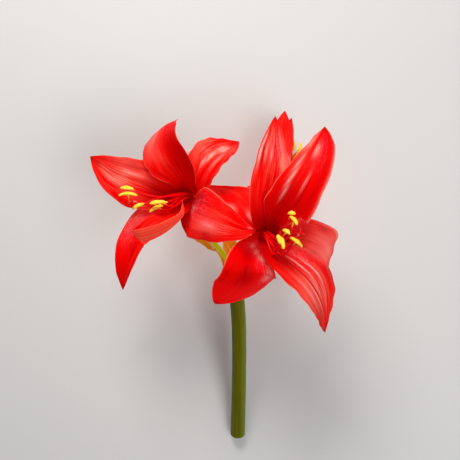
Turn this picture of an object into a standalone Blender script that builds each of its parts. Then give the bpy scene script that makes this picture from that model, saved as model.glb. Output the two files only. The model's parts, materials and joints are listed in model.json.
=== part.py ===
"""Cut amaryllis stem with three red blooms, laid on a flat surface as it lies once it is picked.

Sizes and points are in millimetres in the flower's own frame: X runs to the right, Y runs up the stalk
and on through the blooms, Z points to the front of the flower, and the stalk ends at UMBEL. The front
faces up once the empty laid_stem has tipped the whole flower onto its three low points.
"""

import math
from dataclasses import dataclass

import bmesh
import bpy
import numpy as np
from mathutils import Matrix, Vector

MM = 0.001
PATH_STEPS = 24

# Stalk: the scape, which runs from the umbel down to the cut
UMBEL = (2, -35, 0)
STALK_LINE = [UMBEL, (8, -80, -16), (10, -120, -31), (10, -180, -54), (9, -238, -77)]
STALK_RADII = [8.6, 7.8, 7.8, 8.0, 8.4]
STALK_STATIONS = 9
STALK_SIDES = 24

# Tepals: they overlap in three layers, innermost first, each with the radius and half width of its
# bases, how far they lean out of the throat, and the part of the half ring of 60 degrees they may fill
TEPAL_THICKNESS = 1.0
LAYER_RADIUS = (6.0, 7.6, 9.2)
LAYER_HALF_BASE = (5.0, 5.6, 6.4)
LAYER_OPENING = (2.6, 4.0, 5.4)
LAYER_SHARE = (0.9, 0.82, 0.7)
THROAT_LENGTH = 13.0
TEPAL_ROWS = 15
TEPAL_COLUMNS = 7
TIP_HALF_WIDTH = 1.1
TIP_FULLNESS = 0.9

# Shares of a blade's length: where its roll starts, where its middle roll and cup hold, and how far its
# cross-section still keeps something of the curve of the throat
ROLL_START = 0.25
BLADE_MIDDLE = 0.55
RING_END = 0.5

# Waved edge: it starts at one share of the length, is full after another, fades where the half width is
# less than this, and runs a little ahead on one side
WAVE_START = 0.2
WAVE_RUN_IN = 0.3
WAVE_FADE_WIDTH = 8.0
WAVE_LEAD = 1.1

# Tube behind the tepals, with the cup that holds the filaments
TUBE_LENGTH = 14.0
TUBE_RIM_RADIUS = 10.2
TUBE_SHOULDER = 4.0
TUBE_SHOULDER_RADIUS = 8.6
TUBE_FOOT_RADIUS = 4.4
TUBE_SIDES = 20
CUP_RADIUS = 4.9
CUP_FLOOR_RADIUS = 3.9
CUP_DEPTH = 5.0
ROOT_SINK = 1.5

# Pedicel and ovary
PEDICEL_RADIUS = 2.6
PEDICEL_SPREAD = 5.2
PEDICEL_RISE = 7.0
PEDICEL_SEAT = 0.5
OVARY_RADIUS = 6.2
OVARY_LENGTH = 17.0
OVARY_TOP_SWELL = 0.22
OVARY_FULLNESS = 0.8
PEDICEL_STATIONS = 18
PEDICEL_SIDES = 12
SEAT_GAP = 0.3
RIM_DROP = 0.55

# Stamens and style
FILAMENT_RADII = (1.2, 0.8)
FILAMENT_RING = 3.1
FILAMENT_STATIONS = 9
FILAMENT_SIDES = 6
ANTHER_RADIUS = 2.1
STYLE_RADIUS = 1.1
STIGMA_LENGTH = 4.5
STIGMA_RADII = (0.8, 0.56)
STIGMA_SPREAD = 0.9

# Spathe valves, the two papery bracts under the umbel
VALVE_THICKNESS = 0.8
VALVE_RADIUS = 9.6
VALVE_HALF_BASE = 7.0
VALVE_OPENING = 1.5
VALVE_RISE = 9.0
VALVE_SEAT = 3.0
VALVE_ROWS = 11

# The three low points that the flower lies on: the cut end and two tepals of the back bloom, which are
# pressed flat there
REST_POINTS = ((9, -235, -84.7), (-16, 26, -91.1), (108, 72, -91.6))
FLOOR_DEPTH = 60.0
FLOOR_REACH = 900.0

RED = (0.55, 0.004, 0.006, 1.0)
DEEP_RED = (0.35, 0.003, 0.010, 1.0)
STALK_GREEN = (0.10, 0.15, 0.02, 1.0)
PEDICEL_GREEN = (0.22, 0.36, 0.03, 1.0)
PAPER_BROWN = (0.52, 0.22, 0.05, 1.0)


@dataclass
class Blade:
    """A tepal or a bract, by its midrib and what its cross-section does along it.

    Layer 0 is the innermost of the three that the bases form round the throat. The bearing is taken
    round the bloom's axis, anticlockwise from its right as the bloom is looked into. The midrib lists the
    points after the throat, up to the tip. Half widths are those on either side of the midrib where the
    blade is widest, at that share of its length. It rolls about its midrib by the two angles at its middle
    and tip, and its cross-section there has the two cup radii, negative where it arches away from the
    flower's axis. A wave is its height, its count along the edge and its start. A blade with a greater
    blunt keeps its width further out before it narrows to the tip.
    """

    name: str
    layer: int
    bearing: float
    midrib: list
    half_widths: tuple
    widest: float = 0.55
    roll: tuple = (0, 0)
    cup: tuple = (40, 40)
    wave: tuple = (0, 2, 0)
    blunt: float = 1.9


@dataclass
class Bloom:
    """One flower of the umbel: where its tepals start, the way it faces, and what it is made of.

    The sag is how far the middle of a filament hangs from a straight line to its anther.
    """

    name: str
    throat: tuple
    axis: tuple
    foot_bearing: float
    pedicel: list
    sag: tuple
    tepals: list
    anthers: list
    style_end: tuple


LEFT_TEPALS = [
    Blade("tepal_1", 1, 157, [(-67, 38, 36), (-89, 45, 45), (-111, 54, 46), (-127, 64, 42), (-139, 73, 35)],
          (25, 24), widest=0.48, cup=(90, 60), blunt=1.6),
    Blade("tepal_2", 0, 97, [(-47, 51, 51), (-57, 67, 63), (-65, 84, 60), (-63, 101, 45), (-52, 111, 30)],
          (24.5, 21), widest=0.46, cup=(60, -60), blunt=2.9),
    Blade("tepal_3", 2, 37, [(-31, 48, 41), (-24, 62, 51), (-13, 75, 50), (9, 88, 34)],
          (22, 19), widest=0.57, cup=(50, 50)),
    Blade("tepal_4", 1, 322, [(-36, 19, 46), (-21, 12, 63), (-4, 5, 73), (12, 0, 78), (24, 0, 76)],
          (24, 25), widest=0.34, cup=(-60, 60)),
    Blade("tepal_5", 0, 277,
          [(-47, 17, 50), (-57, 12, 62), (-70, 6, 72), (-83, -5, 80), (-84, -6, 87), (-69, -2, 92), (-54, 6, 94),
           (-43.5, 15, 94), (-43, 27, 92)],
          (10, 9), widest=0.45, roll=(-70, -70), cup=(60, 30), blunt=1.8),
    Blade("tepal_6", 2, 217, [(-56, 20, 26), (-77, 7, 37), (-93, -11, 37), (-104, -36, 27), (-111, -62, 8)],
          (10, 20), widest=0.37, cup=(-60, 30)),
]

RIGHT_TEPALS = [
    Blade("tepal_1", 1, 102, [(32, 14, 61), (35, 38, 66), (39, 62, 63), (42, 87, 51), (45, 113, 36)],
          (19, 23), widest=0.44, cup=(60, 30), blunt=1.5),
    Blade("tepal_2", 0, 42, [(44, 12, 68), (60, 39, 82), (74, 63, 82), (85, 86, 72), (90, 98, 64)],
          (19, 35), widest=0.38, cup=(40, 30), blunt=1.8),
    Blade("tepal_3", 2, 342, [(54, -9, 50), (75, -10, 56), (89, -17, 50), (97, -28, 36), (97, -42, 18)],
          (21, 20), widest=0.55, roll=(30, 25), cup=(60, -60), wave=(2.5, 2.2, 0)),
    Blade("tepal_4", 0, 288, [(44.5, -23, 66.5), (59, -34, 77), (74, -48, 76), (86, -69, 64), (93, -100, 46)],
          (27, 24), widest=0.56, cup=(60, 30), blunt=1.6),
    Blade("tepal_5", 1, 222, [(21, -22, 62), (17, -35, 69), (12, -48, 66), (3, -60, 54), (-15, -73, 38)],
          (34, 25), widest=0.47, cup=(-90, -60), blunt=3.2),
    Blade("tepal_6", 2, 157, [(18, 5, 54), (8, 18, 54), (-6, 31, 46), (-23, 45, 30)],
          (14, 29), widest=0.5, cup=(60, 60)),
]

BACK_TEPALS = [
    Blade("tepal_1", 1, 255, [(50, 77, -28), (55, 105, -35), (61, 132, -38)], (16, 16), cup=(40, 20)),
    Blade("tepal_2", 0, 315, [(57, 72, -40), (65, 102, -54), (71, 129, -66)], (14, 14), cup=(40, 20)),
    Blade("tepal_3", 2, 15, [(66, 56, -42), (82, 65, -70), (93, 69, -86), (102, 71, -90.8), (114, 72, -91.4)],
          (19, 19), cup=(40, 900)),
    Blade("tepal_4", 0, 75, [(52, 54, -48), (60, 64, -72), (66, 78, -86), (70, 96, -90)],
          (17, 17), cup=(40, 60)),
    Blade("tepal_5", 1, 135, [(34, 42, -46), (19, 33, -72), (0, 29, -88), (-12, 27, -90.8), (-25, 25, -91.1)],
          (15, 15), cup=(40, 900)),
    Blade("tepal_6", 0, 195, [(37, 66, -46), (38, 89, -66), (38, 110, -76)], (15, 15), cup=(40, 40)),
]

# An anther is the point where its filament holds it, the way that it lies, and its length
LEFT_ANTHERS = [
    ((-98, 40, 64), (1, -0.1, 0.1), 13),
    ((-96, 34, 70), (1, 0, 0), 18),
    ((-87, 23, 68), (1, 0.5, 0.1), 13),
    ((-68, 26, 72), (1, 0.1, 0), 15),
    ((-70, 21, 66), (1, 0.5, -0.2), 14),
    ((-64, 25, 63), (1, 0.6, -0.2), 10),
]
RIGHT_ANTHERS = [
    ((54, 15, 108), (1, -0.1, 0.9), 8),
    ((56, 9, 112), (0.6, -0.8, 0.6), 11),
    ((50, -1, 104), (0.8, -0.5, 0.7), 9),
    ((47, -11, 98), (0.2, -1, 0.4), 12),
    ((59, -10, 104), (1, -0.8, 0.2), 14),
    ((44, -8, 98), (0.3, -1, 0.3), 9),
]
BACK_ANTHERS = [
    ((74, 97, -69), (0, 1, 0), 12),
    ((81, 95, -71), (0.4, 0.9, 0), 13),
    ((76, 87, -77), (0.8, 0.4, 0.2), 13),
    ((66, 90, -75), (0.5, 0.8, -0.3), 13),
    ((70, 84, -81), (1, 0.2, 0), 13),
    ((83, 86, -76), (0.8, -0.4, 0.2), 13),
]

BLOOMS = [
    Bloom("left", (-40.7, 33.6, 20), (-0.38, 0.06, 0.92), 180,
          [(-11, -20, 4), (-19, -9, 1), (-25, 8, -8), (-28, 22, -12)],
          (0, -6, 8), LEFT_TEPALS, LEFT_ANTHERS, (-92, 27, 71)),
    Bloom("right", (33.4, -7.9, 42), (0.25, 0.2, 0.95), 300, [(14, -23, 5)],
          (0, -14, -4), RIGHT_TEPALS, RIGHT_ANTHERS, (61, -3, 112)),
    Bloom("back", (38, 42, -15), (0.38, 0.62, -0.69), 30, [(11, -15, 1), (19, 6, 5)],
          (0, 0, -6), BACK_TEPALS, BACK_ANTHERS, (84, 83, -82)),
]

VALVES = [
    Blade("spathe_valve_1", 0, 160, [(-16, -20, -10), (-29, -12, -13), (-44, -5, -16)], (8, 8),
          widest=0.4, roll=(60, 60), cup=(14, 12), wave=(1.2, 3, 0)),
    Blade("spathe_valve_2", 0, 72, [(0, -13, -16), (1, 0, -21), (4, 14, -25)], (9, 9),
          widest=0.4, cup=(14, 12), wave=(1.2, 3, 1)),
]


def unit(vector):
    vector = np.asarray(vector, dtype=float)
    return vector / np.linalg.norm(vector)


def smooth_path(points, count):
    """Evenly spaced points on a Catmull-Rom curve through the given ones, and its length."""
    points = np.asarray(points, dtype=float)
    ends = np.vstack([2 * points[0] - points[1], points, 2 * points[-1] - points[-2]])
    fine = []
    for a, b, c, d in zip(ends[:-3], ends[1:-2], ends[2:-1], ends[3:]):
        for t in np.linspace(0.0, 1.0, PATH_STEPS, endpoint=False):
            cubic = (3 * b - a - 3 * c + d) * t ** 3
            square = (2 * a - 5 * b + 4 * c - d) * t ** 2
            fine.append(0.5 * (2 * b + (c - a) * t + square + cubic))
    fine = np.array(fine + [points[-1]])
    steps = np.linalg.norm(np.diff(fine, axis=0), axis=1)
    run = np.concatenate([[0.0], np.cumsum(steps)])
    at = np.linspace(0.0, run[-1], count)
    return np.stack([np.interp(at, run, fine[:, i]) for i in range(3)], axis=1), run[-1]


def carried_frames(path, first_normal):
    """Unit tangents and normals along a path, each normal carried on from the one before it."""
    tangents = np.gradient(path, axis=0)
    normals = []
    normal = first_normal
    for index, tangent in enumerate(tangents):
        tangents[index] = unit(tangent)
        normal = unit(normal - tangents[index] * np.dot(normal, tangents[index]))
        normals.append(normal)
    return tangents, np.array(normals)


def radial(axis, bearing):
    """The way out from an axis at a bearing."""
    axis = unit(axis)
    right = unit(np.array([1.0, 0.0, 0.0]) - axis * axis[0])
    up = np.cross(axis, right)
    angle = math.radians(bearing)
    return right * math.cos(angle) + up * math.sin(angle)


def half_width(blade, share, side, half_base, away):
    """Half width at a share of the length: it swells from the base, then runs out to the tip.

    Near the throat it is held to its share of the ring, at this distance away from the axis.
    """
    widest = blade.half_widths[side]
    if share < blade.widest:
        swell = half_base + (widest - half_base) * math.sin(share / blade.widest * math.pi / 2)
        return min(swell, away * math.pi / 3 * LAYER_SHARE[blade.layer])
    rest = (share - blade.widest) / (1 - blade.widest)
    return max(widest * (1 - rest ** blade.blunt) ** TIP_FULLNESS, TIP_HALF_WIDTH)


def edge_wave(blade, share, side, half):
    """How far the wave lifts the very edge of a blade at a share of its length."""
    height, count, start = blade.wave
    run_in = min(1.0, max(0.0, (share - WAVE_START) / WAVE_RUN_IN))
    full = height * run_in * min(1.0, half / WAVE_FADE_WIDTH)
    return full * math.sin(2 * math.pi * count * share + start + WAVE_LEAD * side)


def blade_grid(blade, root, axis, radius, half_base, opening, rise, rows=TEPAL_ROWS, columns=TEPAL_COLUMNS):
    """Rows of points across a blade, from its curved base to its tip."""
    axis = unit(axis)
    out = radial(axis, blade.bearing)
    root = np.asarray(root, dtype=float)
    start = root + out * radius
    mouth = root + out * (radius + opening) + axis * rise
    midrib, length = smooth_path([start, mouth] + blade.midrib, rows)
    tangents, normals = carried_frames(midrib, -out)
    shares = np.linspace(0.0, 1.0, rows)
    rolls = np.radians(np.interp(shares, [0, ROLL_START, BLADE_MIDDLE, 1], [0, 0, *blade.roll]))
    offsets = midrib - root
    aways = np.linalg.norm(offsets - np.outer(offsets @ axis, axis), axis=1)
    ringed = np.interp(shares, [0, rise / length, RING_END], [1, 1, 0])
    cups = np.interp(shares, [0, BLADE_MIDDLE, 1], [0, 1 / blade.cup[0], 1 / blade.cup[1]])
    bends = ringed / aways + (1 - ringed) * cups
    grid = []
    for middle, tangent, normal, share, roll, away, bend in zip(
            midrib, tangents, normals, shares, rolls, aways, bends):
        face = normal * math.cos(roll) + np.cross(tangent, normal) * math.sin(roll)
        across = np.cross(tangent, face)
        line = []
        for place in np.linspace(-1.0, 1.0, columns):
            side = 0 if place < 0 else 1
            half = half_width(blade, share, side, half_base, away)
            arc = place * half * bend
            sideways = place * half * np.sinc(arc / math.pi)
            lift = place * half * math.sin(arc / 2) * np.sinc(arc / 2 / math.pi)
            wave = edge_wave(blade, share, side, half) * place ** 2
            line.append(middle + across * sideways + face * (lift + wave))
        grid.append(line)
    return grid


def new_material(name, colour, roughness):
    material = bpy.data.materials.new(name)
    material.use_nodes = True
    shader = material.node_tree.nodes["Principled BSDF"]
    shader.inputs["Base Color"].default_value = colour
    shader.inputs["Roughness"].default_value = roughness
    material.diffuse_color = colour
    return material


def add_object(name, data, collection, parent=None):
    obj = bpy.data.objects.new(name, data)
    collection.objects.link(obj)
    if parent is not None:
        obj.parent = parent
    return obj


def tube_object(name, points, radii, sides, collection):
    """A round rod through the points with a radius at each, capped at both ends, as a closed mesh."""
    data = bpy.data.curves.new(name + "_path", "CURVE")
    data.dimensions = "3D"
    data.bevel_depth = MM
    data.bevel_resolution = (sides - 4) // 2
    data.use_fill_caps = True
    data.twist_mode = "MINIMUM"
    spline = data.splines.new("POLY")
    spline.points.add(len(points) - 1)
    for spot, point, radius in zip(spline.points, points, radii):
        spot.co = (*(np.asarray(point) * MM), 1.0)
        spot.radius = radius
    curve = add_object(name + "_path", data, collection)
    bpy.context.view_layer.update()
    mesh = bpy.data.meshes.new_from_object(curve.evaluated_get(bpy.context.evaluated_depsgraph_get()))
    mesh.name = name
    weld(mesh)
    rod = add_object(name, mesh, collection)
    rod.matrix_world = curve.matrix_world
    bpy.data.objects.remove(curve)
    bpy.data.curves.remove(data)
    return rod


def weld(mesh):
    """Joins loose caps to their rims and points every face out."""
    work = bmesh.new()
    work.from_mesh(mesh)
    bmesh.ops.remove_doubles(work, verts=work.verts, dist=0.01 * MM)
    bmesh.ops.recalc_face_normals(work, faces=work.faces)
    work.to_mesh(mesh)
    work.free()


def blade_object(name, grid, thickness, material, collection, parent):
    """A thin blade: an open sheet cut into triangles, thickened by the same amount on both faces."""
    columns = len(grid[0])
    corners = [tuple(point * MM) for line in grid for point in line]
    faces = []
    for row in range(len(grid) - 1):
        for column in range(columns - 1):
            a = row * columns + column
            b = a + columns
            if (row + column) % 2:
                faces += [(a, b, a + 1), (a + 1, b, b + 1)]
            else:
                faces += [(a, b, b + 1), (a, b + 1, a + 1)]
    mesh = bpy.data.meshes.new(name)
    mesh.from_pydata(corners, [], faces)
    mesh.materials.append(material)
    obj = add_object(name, mesh, collection, parent)
    solid = obj.modifiers.new("Thickness", "SOLIDIFY")
    solid.thickness = thickness * MM
    solid.offset = 0.0
    mesh.shade_smooth()
    return obj


def applied(obj):
    """Turns an object's evaluated shape into its own plain mesh."""
    bpy.context.view_layer.update()
    mesh = bpy.data.meshes.new_from_object(obj.evaluated_get(bpy.context.evaluated_depsgraph_get()))
    obj.modifiers.clear()
    obj.data = mesh
    return obj


def perianth_tube(bloom, collection):
    """The short tube that carries the tepals, turned about the bloom's axis, with a cup in its mouth."""
    profile = [
        (0, -CUP_DEPTH),
        (CUP_FLOOR_RADIUS, -CUP_DEPTH),
        (CUP_RADIUS, -RIM_DROP),
        (TUBE_RIM_RADIUS, -RIM_DROP),
        (TUBE_SHOULDER_RADIUS, -TUBE_SHOULDER),
        (TUBE_FOOT_RADIUS, -TUBE_LENGTH),
        (0, -TUBE_LENGTH),
    ]
    mesh = bpy.data.meshes.new("tube_profile")
    edges = [(index, index + 1) for index in range(len(profile) - 1)]
    mesh.from_pydata([(x * MM, 0, z * MM) for x, z in profile], edges, [])
    tube = add_object("tube_" + bloom.name, mesh, collection)
    screw = tube.modifiers.new("Turn", "SCREW")
    screw.steps = TUBE_SIDES
    screw.render_steps = TUBE_SIDES
    screw.use_merge_vertices = True
    screw.merge_threshold = 0.01 * MM
    applied(tube)
    weld(tube.data)
    turn = Vector((0, 0, 1)).rotation_difference(Vector(unit(bloom.axis)))
    tube.matrix_world = Matrix.Translation(Vector(bloom.throat) * MM) @ turn.to_matrix().to_4x4()
    return tube


def filament_path(bloom, bearing, end):
    """A filament's points: up out of the cup, then sagging and rising again to its anther."""
    axis = unit(bloom.axis)
    throat = np.asarray(bloom.throat, dtype=float)
    end = np.asarray(end, dtype=float)
    foot = throat + radial(axis, bearing) * FILAMENT_RING
    mouth = foot + axis * THROAT_LENGTH
    middle = (mouth + end) / 2 + np.asarray(bloom.sag)
    return [foot - axis * (CUP_DEPTH + ROOT_SINK), foot, mouth, middle, end]


def anther(name, end, lie, length, collection):
    """A long rounded anther, lying across the end of its filament."""
    mesh = bpy.data.meshes.new(name)
    work = bmesh.new()
    bmesh.ops.create_uvsphere(work, u_segments=6, v_segments=5, radius=1.0)
    work.to_mesh(mesh)
    work.free()
    pod = add_object(name, mesh, collection)
    turn = Vector((0, 0, 1)).rotation_difference(Vector(unit(lie))).to_matrix().to_4x4()
    size = Matrix.Diagonal((ANTHER_RADIUS * MM, ANTHER_RADIUS * MM, length / 2 * MM, 1))
    pod.data.transform(Matrix.Translation(Vector(end) * MM) @ turn @ size)
    return pod


def stamens_and_style(bloom, collection):
    """Six filaments with their anthers, and the longer style with its three stigma lobes."""
    for index, (end, lie, length) in enumerate(bloom.anthers):
        bearing = 60 * index + 30
        path, _ = smooth_path(filament_path(bloom, bearing, end), FILAMENT_STATIONS)
        radii = np.linspace(*FILAMENT_RADII, FILAMENT_STATIONS)
        tube_object("filament_%d" % index, path, radii, FILAMENT_SIDES, collection)
        anther("anther_%d" % index, end, lie, length, collection)
    style = filament_path(bloom, 0, bloom.style_end)
    axis = unit(bloom.axis)
    style[:3] = [point - radial(axis, 0) * FILAMENT_RING for point in style[:3]]
    path, _ = smooth_path(style, FILAMENT_STATIONS)
    tube_object("style", path, [STYLE_RADIUS] * FILAMENT_STATIONS, FILAMENT_SIDES, collection)
    ahead = unit(path[-1] - path[-2])
    for index in range(3):
        lobe = ahead + radial(ahead, 120 * index + 90) * STIGMA_SPREAD
        ends = [path[-1] - ahead * STYLE_RADIUS, path[-1] + unit(lobe) * STIGMA_LENGTH]
        tube_object("stigma_%d" % index, ends, STIGMA_RADII, FILAMENT_SIDES, collection)


def flower_core(bloom, collection, parent, material):
    """Tube, stamens and style of one bloom, fused into one solid."""
    pieces = bpy.data.collections.new("core_pieces_" + bloom.name)
    bpy.context.scene.collection.children.link(pieces)
    tube = perianth_tube(bloom, collection)
    stamens_and_style(bloom, pieces)
    union = tube.modifiers.new("Fuse", "BOOLEAN")
    union.operation = "UNION"
    union.operand_type = "COLLECTION"
    union.collection = pieces
    applied(tube)
    for piece in list(pieces.objects):
        bpy.data.objects.remove(piece)
    bpy.data.collections.remove(pieces)
    tube.data.transform(tube.matrix_world)
    tube.matrix_world = Matrix.Identity(4)
    finish(tube, "stamens_" + bloom.name, material, parent)


def finish(obj, name, material, parent):
    """Names a plain mesh object, gives it its material and shading, and lets it lie with the rest."""
    obj.name = name
    obj.data.name = name
    obj.data.materials.clear()
    obj.data.materials.append(material)
    obj.data.shade_smooth()
    obj.data.set_sharp_from_angle(angle=math.radians(40))
    obj.parent = parent


def stalk_direction():
    path, _ = smooth_path(STALK_LINE, STALK_STATIONS)
    return unit(path[0] - path[1])


def pedicel(bloom, collection, parent, material):
    """The flower's own thin stalk, swelling into the ovary that the tube stands on."""
    axis = unit(bloom.axis)
    up = stalk_direction()
    foot = np.asarray(UMBEL) + up * PEDICEL_SEAT + radial(up, bloom.foot_bearing) * PEDICEL_SPREAD
    top = np.asarray(bloom.throat) - axis * (TUBE_LENGTH + SEAT_GAP)
    neck = top - axis * OVARY_LENGTH
    start = [foot, foot + up * PEDICEL_RISE / 2, foot + up * PEDICEL_RISE]
    end = [neck, (neck + top) / 2, top + (neck - top) / 5, top]
    path, length = smooth_path(start + bloom.pedicel + end, PEDICEL_STATIONS)
    radii = []
    for share in np.linspace(0.0, 1.0, PEDICEL_STATIONS):
        back = (1 - share) * length / OVARY_LENGTH
        if back < 1:
            swell = max(math.sin(math.pi * (OVARY_TOP_SWELL + (1 - OVARY_TOP_SWELL) * back)), 0.0)
            radii.append(PEDICEL_RADIUS + (OVARY_RADIUS - PEDICEL_RADIUS) * swell ** OVARY_FULLNESS)
        else:
            radii.append(PEDICEL_RADIUS)
    rod = tube_object("pedicel_" + bloom.name, path, radii, PEDICEL_SIDES, collection)
    finish(rod, "pedicel_" + bloom.name, material, parent)


def stalk(collection, parent, material):
    """The scape, which narrows a little above the cut and widens again under the umbel."""
    path, _ = smooth_path(STALK_LINE, STALK_STATIONS)
    radii = np.interp(np.linspace(0, 1, STALK_STATIONS), np.linspace(0, 1, len(STALK_RADII)), STALK_RADII)
    scape = tube_object("scape", path, radii, STALK_SIDES, collection)
    finish(scape, "scape", material, parent)


def blooms(collection, parent, tepal_red, core_red, green):
    for bloom in BLOOMS:
        for tepal in bloom.tepals:
            grid = blade_grid(tepal, bloom.throat, bloom.axis, LAYER_RADIUS[tepal.layer],
                              LAYER_HALF_BASE[tepal.layer], LAYER_OPENING[tepal.layer], THROAT_LENGTH)
            name = "%s_%s" % (bloom.name, tepal.name)
            blade_object(name, grid, TEPAL_THICKNESS, tepal_red, collection, parent)
        flower_core(bloom, collection, parent, core_red)
        pedicel(bloom, collection, parent, green)


def spathe(collection, parent, material):
    """The two dry bracts that once wrapped the buds, seated on the sides of the stalk's top."""
    up = stalk_direction()
    root = np.asarray(UMBEL) - up * VALVE_SEAT
    for valve in VALVES:
        grid = blade_grid(valve, root, up, VALVE_RADIUS, VALVE_HALF_BASE, VALVE_OPENING, VALVE_RISE,
                          rows=VALVE_ROWS)
        blade_object(valve.name, grid, VALVE_THICKNESS, material, collection, parent)


def lay_down(laid_stem):
    """Turns the flower so that its three low points lie level, with its right side still to the right."""
    first, second, third = (np.asarray(point, dtype=float) for point in REST_POINTS)
    up = unit(np.cross(third - first, second - first))
    right = unit(np.array([1.0, 0.0, 0.0]) - up * up[0])
    ahead = np.cross(up, right)
    turn = Matrix((right, ahead, up))
    laid_stem.rotation_euler = turn.to_euler()
    laid_stem.location = (0.0, 0.0, -up.dot(first) * MM)


def press_flat(collection, cutters):
    """Takes off the little that would reach under the surface at the three low points."""
    mesh = bpy.data.meshes.new("floor")
    work = bmesh.new()
    bmesh.ops.create_cube(work, size=1.0)
    bmesh.ops.scale(work, vec=(FLOOR_REACH * MM, FLOOR_REACH * MM, FLOOR_DEPTH * MM), verts=work.verts)
    bmesh.ops.translate(work, vec=(0, 0, -FLOOR_DEPTH / 2 * MM), verts=work.verts)
    work.to_mesh(mesh)
    work.free()
    floor = add_object("floor", mesh, cutters)
    floor.hide_render = True
    floor.display_type = "WIRE"
    for name in ("scape", "back_tepal_3", "back_tepal_5"):
        cut = collection.objects[name].modifiers.new("Flat spot", "BOOLEAN")
        cut.operation = "DIFFERENCE"
        cut.object = floor


def centre_over_origin(collection, laid_stem):
    """Moves the laid flower so that the middle of its outline stands over the origin."""
    bpy.context.view_layer.update()
    graph = bpy.context.evaluated_depsgraph_get()
    corners = []
    for obj in collection.objects:
        if obj.type == "MESH":
            shape = obj.evaluated_get(graph)
            corners += [obj.matrix_world @ vertex.co for vertex in shape.data.vertices]
    for axis in (0, 1):
        values = [corner[axis] for corner in corners]
        laid_stem.location[axis] -= (min(values) + max(values)) / 2


def clear_scene():
    for obj in list(bpy.data.objects):
        bpy.data.objects.remove(obj)


def main():
    clear_scene()
    collection = bpy.data.collections.new("amaryllis_stem")
    cutters = bpy.data.collections.new("cutters")
    bpy.context.scene.collection.children.link(collection)
    bpy.context.scene.collection.children.link(cutters)
    laid_stem = add_object("laid_stem", None, collection)
    lay_down(laid_stem)
    blooms(collection, laid_stem, new_material("tepal_red", RED, 0.42), new_material("core_red", DEEP_RED, 0.5),
           new_material("pedicel_green", PEDICEL_GREEN, 0.45))
    stalk(collection, laid_stem, new_material("stalk_green", STALK_GREEN, 0.4))
    spathe(collection, laid_stem, new_material("dry_bract", PAPER_BROWN, 0.75))
    press_flat(collection, cutters)
    centre_over_origin(collection, laid_stem)


main()
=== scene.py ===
"""Finishes a cut amaryllis stem that lies on a pale floor: veined petals, pollen-dusted anthers, stalks
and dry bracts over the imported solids.

Points and sizes in the flower tables are in millimetres in the flower's own frame, in which the photo's
camera looks along -Z. laid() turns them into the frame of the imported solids, in metres.
"""

import json
import math
import random
from dataclasses import dataclass

import bmesh
import bpy
import numpy as np
from bpy.props import FloatProperty, FloatVectorProperty, IntProperty, PointerProperty
from mathutils import Matrix, Vector

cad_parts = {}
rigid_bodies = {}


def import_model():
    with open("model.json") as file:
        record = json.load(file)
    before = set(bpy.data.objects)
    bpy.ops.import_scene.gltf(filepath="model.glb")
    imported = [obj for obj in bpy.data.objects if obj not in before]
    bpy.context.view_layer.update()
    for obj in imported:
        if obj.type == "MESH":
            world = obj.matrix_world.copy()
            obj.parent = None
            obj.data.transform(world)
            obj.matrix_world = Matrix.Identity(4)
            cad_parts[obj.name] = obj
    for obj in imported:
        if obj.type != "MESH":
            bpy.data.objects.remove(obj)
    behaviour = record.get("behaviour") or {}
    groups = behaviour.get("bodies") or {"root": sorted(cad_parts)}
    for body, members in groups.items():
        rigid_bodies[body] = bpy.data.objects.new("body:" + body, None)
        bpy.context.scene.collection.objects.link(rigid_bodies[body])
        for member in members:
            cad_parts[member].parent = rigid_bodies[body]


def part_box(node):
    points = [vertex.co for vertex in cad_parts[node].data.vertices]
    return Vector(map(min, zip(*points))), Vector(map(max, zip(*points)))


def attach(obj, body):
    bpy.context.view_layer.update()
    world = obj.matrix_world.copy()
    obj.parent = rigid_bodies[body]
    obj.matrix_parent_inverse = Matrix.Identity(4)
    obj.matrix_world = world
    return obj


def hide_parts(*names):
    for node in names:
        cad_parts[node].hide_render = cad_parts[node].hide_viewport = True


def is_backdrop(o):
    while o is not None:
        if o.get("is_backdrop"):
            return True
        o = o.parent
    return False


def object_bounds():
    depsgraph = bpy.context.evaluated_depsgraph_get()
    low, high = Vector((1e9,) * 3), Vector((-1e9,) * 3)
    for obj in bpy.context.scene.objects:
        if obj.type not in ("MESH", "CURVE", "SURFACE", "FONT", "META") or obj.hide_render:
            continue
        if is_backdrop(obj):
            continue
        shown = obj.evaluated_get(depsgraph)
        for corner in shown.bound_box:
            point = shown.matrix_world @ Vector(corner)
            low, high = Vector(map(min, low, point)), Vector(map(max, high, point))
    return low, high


bl_info = {
    "name": "Amaryllis stem",
    "version": (1, 0, 0),
    "blender": (4, 5, 0),
    "location": "View3D > Sidebar > Amaryllis",
    "description": "Petals, stamens, stalks and bracts of a cut amaryllis stem on its packed solids",
    "category": "Add Mesh",
}

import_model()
BODY = "root"
MM = 0.001
PATH_STEPS = 24
WELD_DISTANCE = 0.003

# Stalk: the scape, which runs from the umbel down to the cut
UMBEL = (2, -35, 0)
STALK_LINE = [UMBEL, (8, -80, -16), (10, -120, -31), (10, -180, -54), (9, -238, -77)]
STALK_RADII = [8.6, 7.8, 7.8, 8.0, 8.4]
REST_POINTS = ((9, -235, -84.7), (-16, 26, -91.1), (108, 72, -91.6))

# Tepals: three layers, innermost first, each with the radius and half width of its bases, how far they
# lean out of the throat, and the part of the half ring of 60 degrees they may fill
LAYER_RADIUS = (6.0, 7.6, 9.2)
LAYER_HALF_BASE = (5.0, 5.6, 6.4)
LAYER_OPENING = (2.6, 4.0, 5.4)
LAYER_SHARE = (0.9, 0.82, 0.7)
THROAT_LENGTH = 13.0
TIP_FULLNESS = 0.9
ROLL_START = 0.25
BLADE_MIDDLE = 0.55
RING_END = 0.5
WAVE_START = 0.2
WAVE_RUN_IN = 0.3
WAVE_FADE_WIDTH = 8.0
WAVE_LEAD = 1.1
SOLID_ROWS = 15
SOLID_COLUMNS = 7

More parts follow.
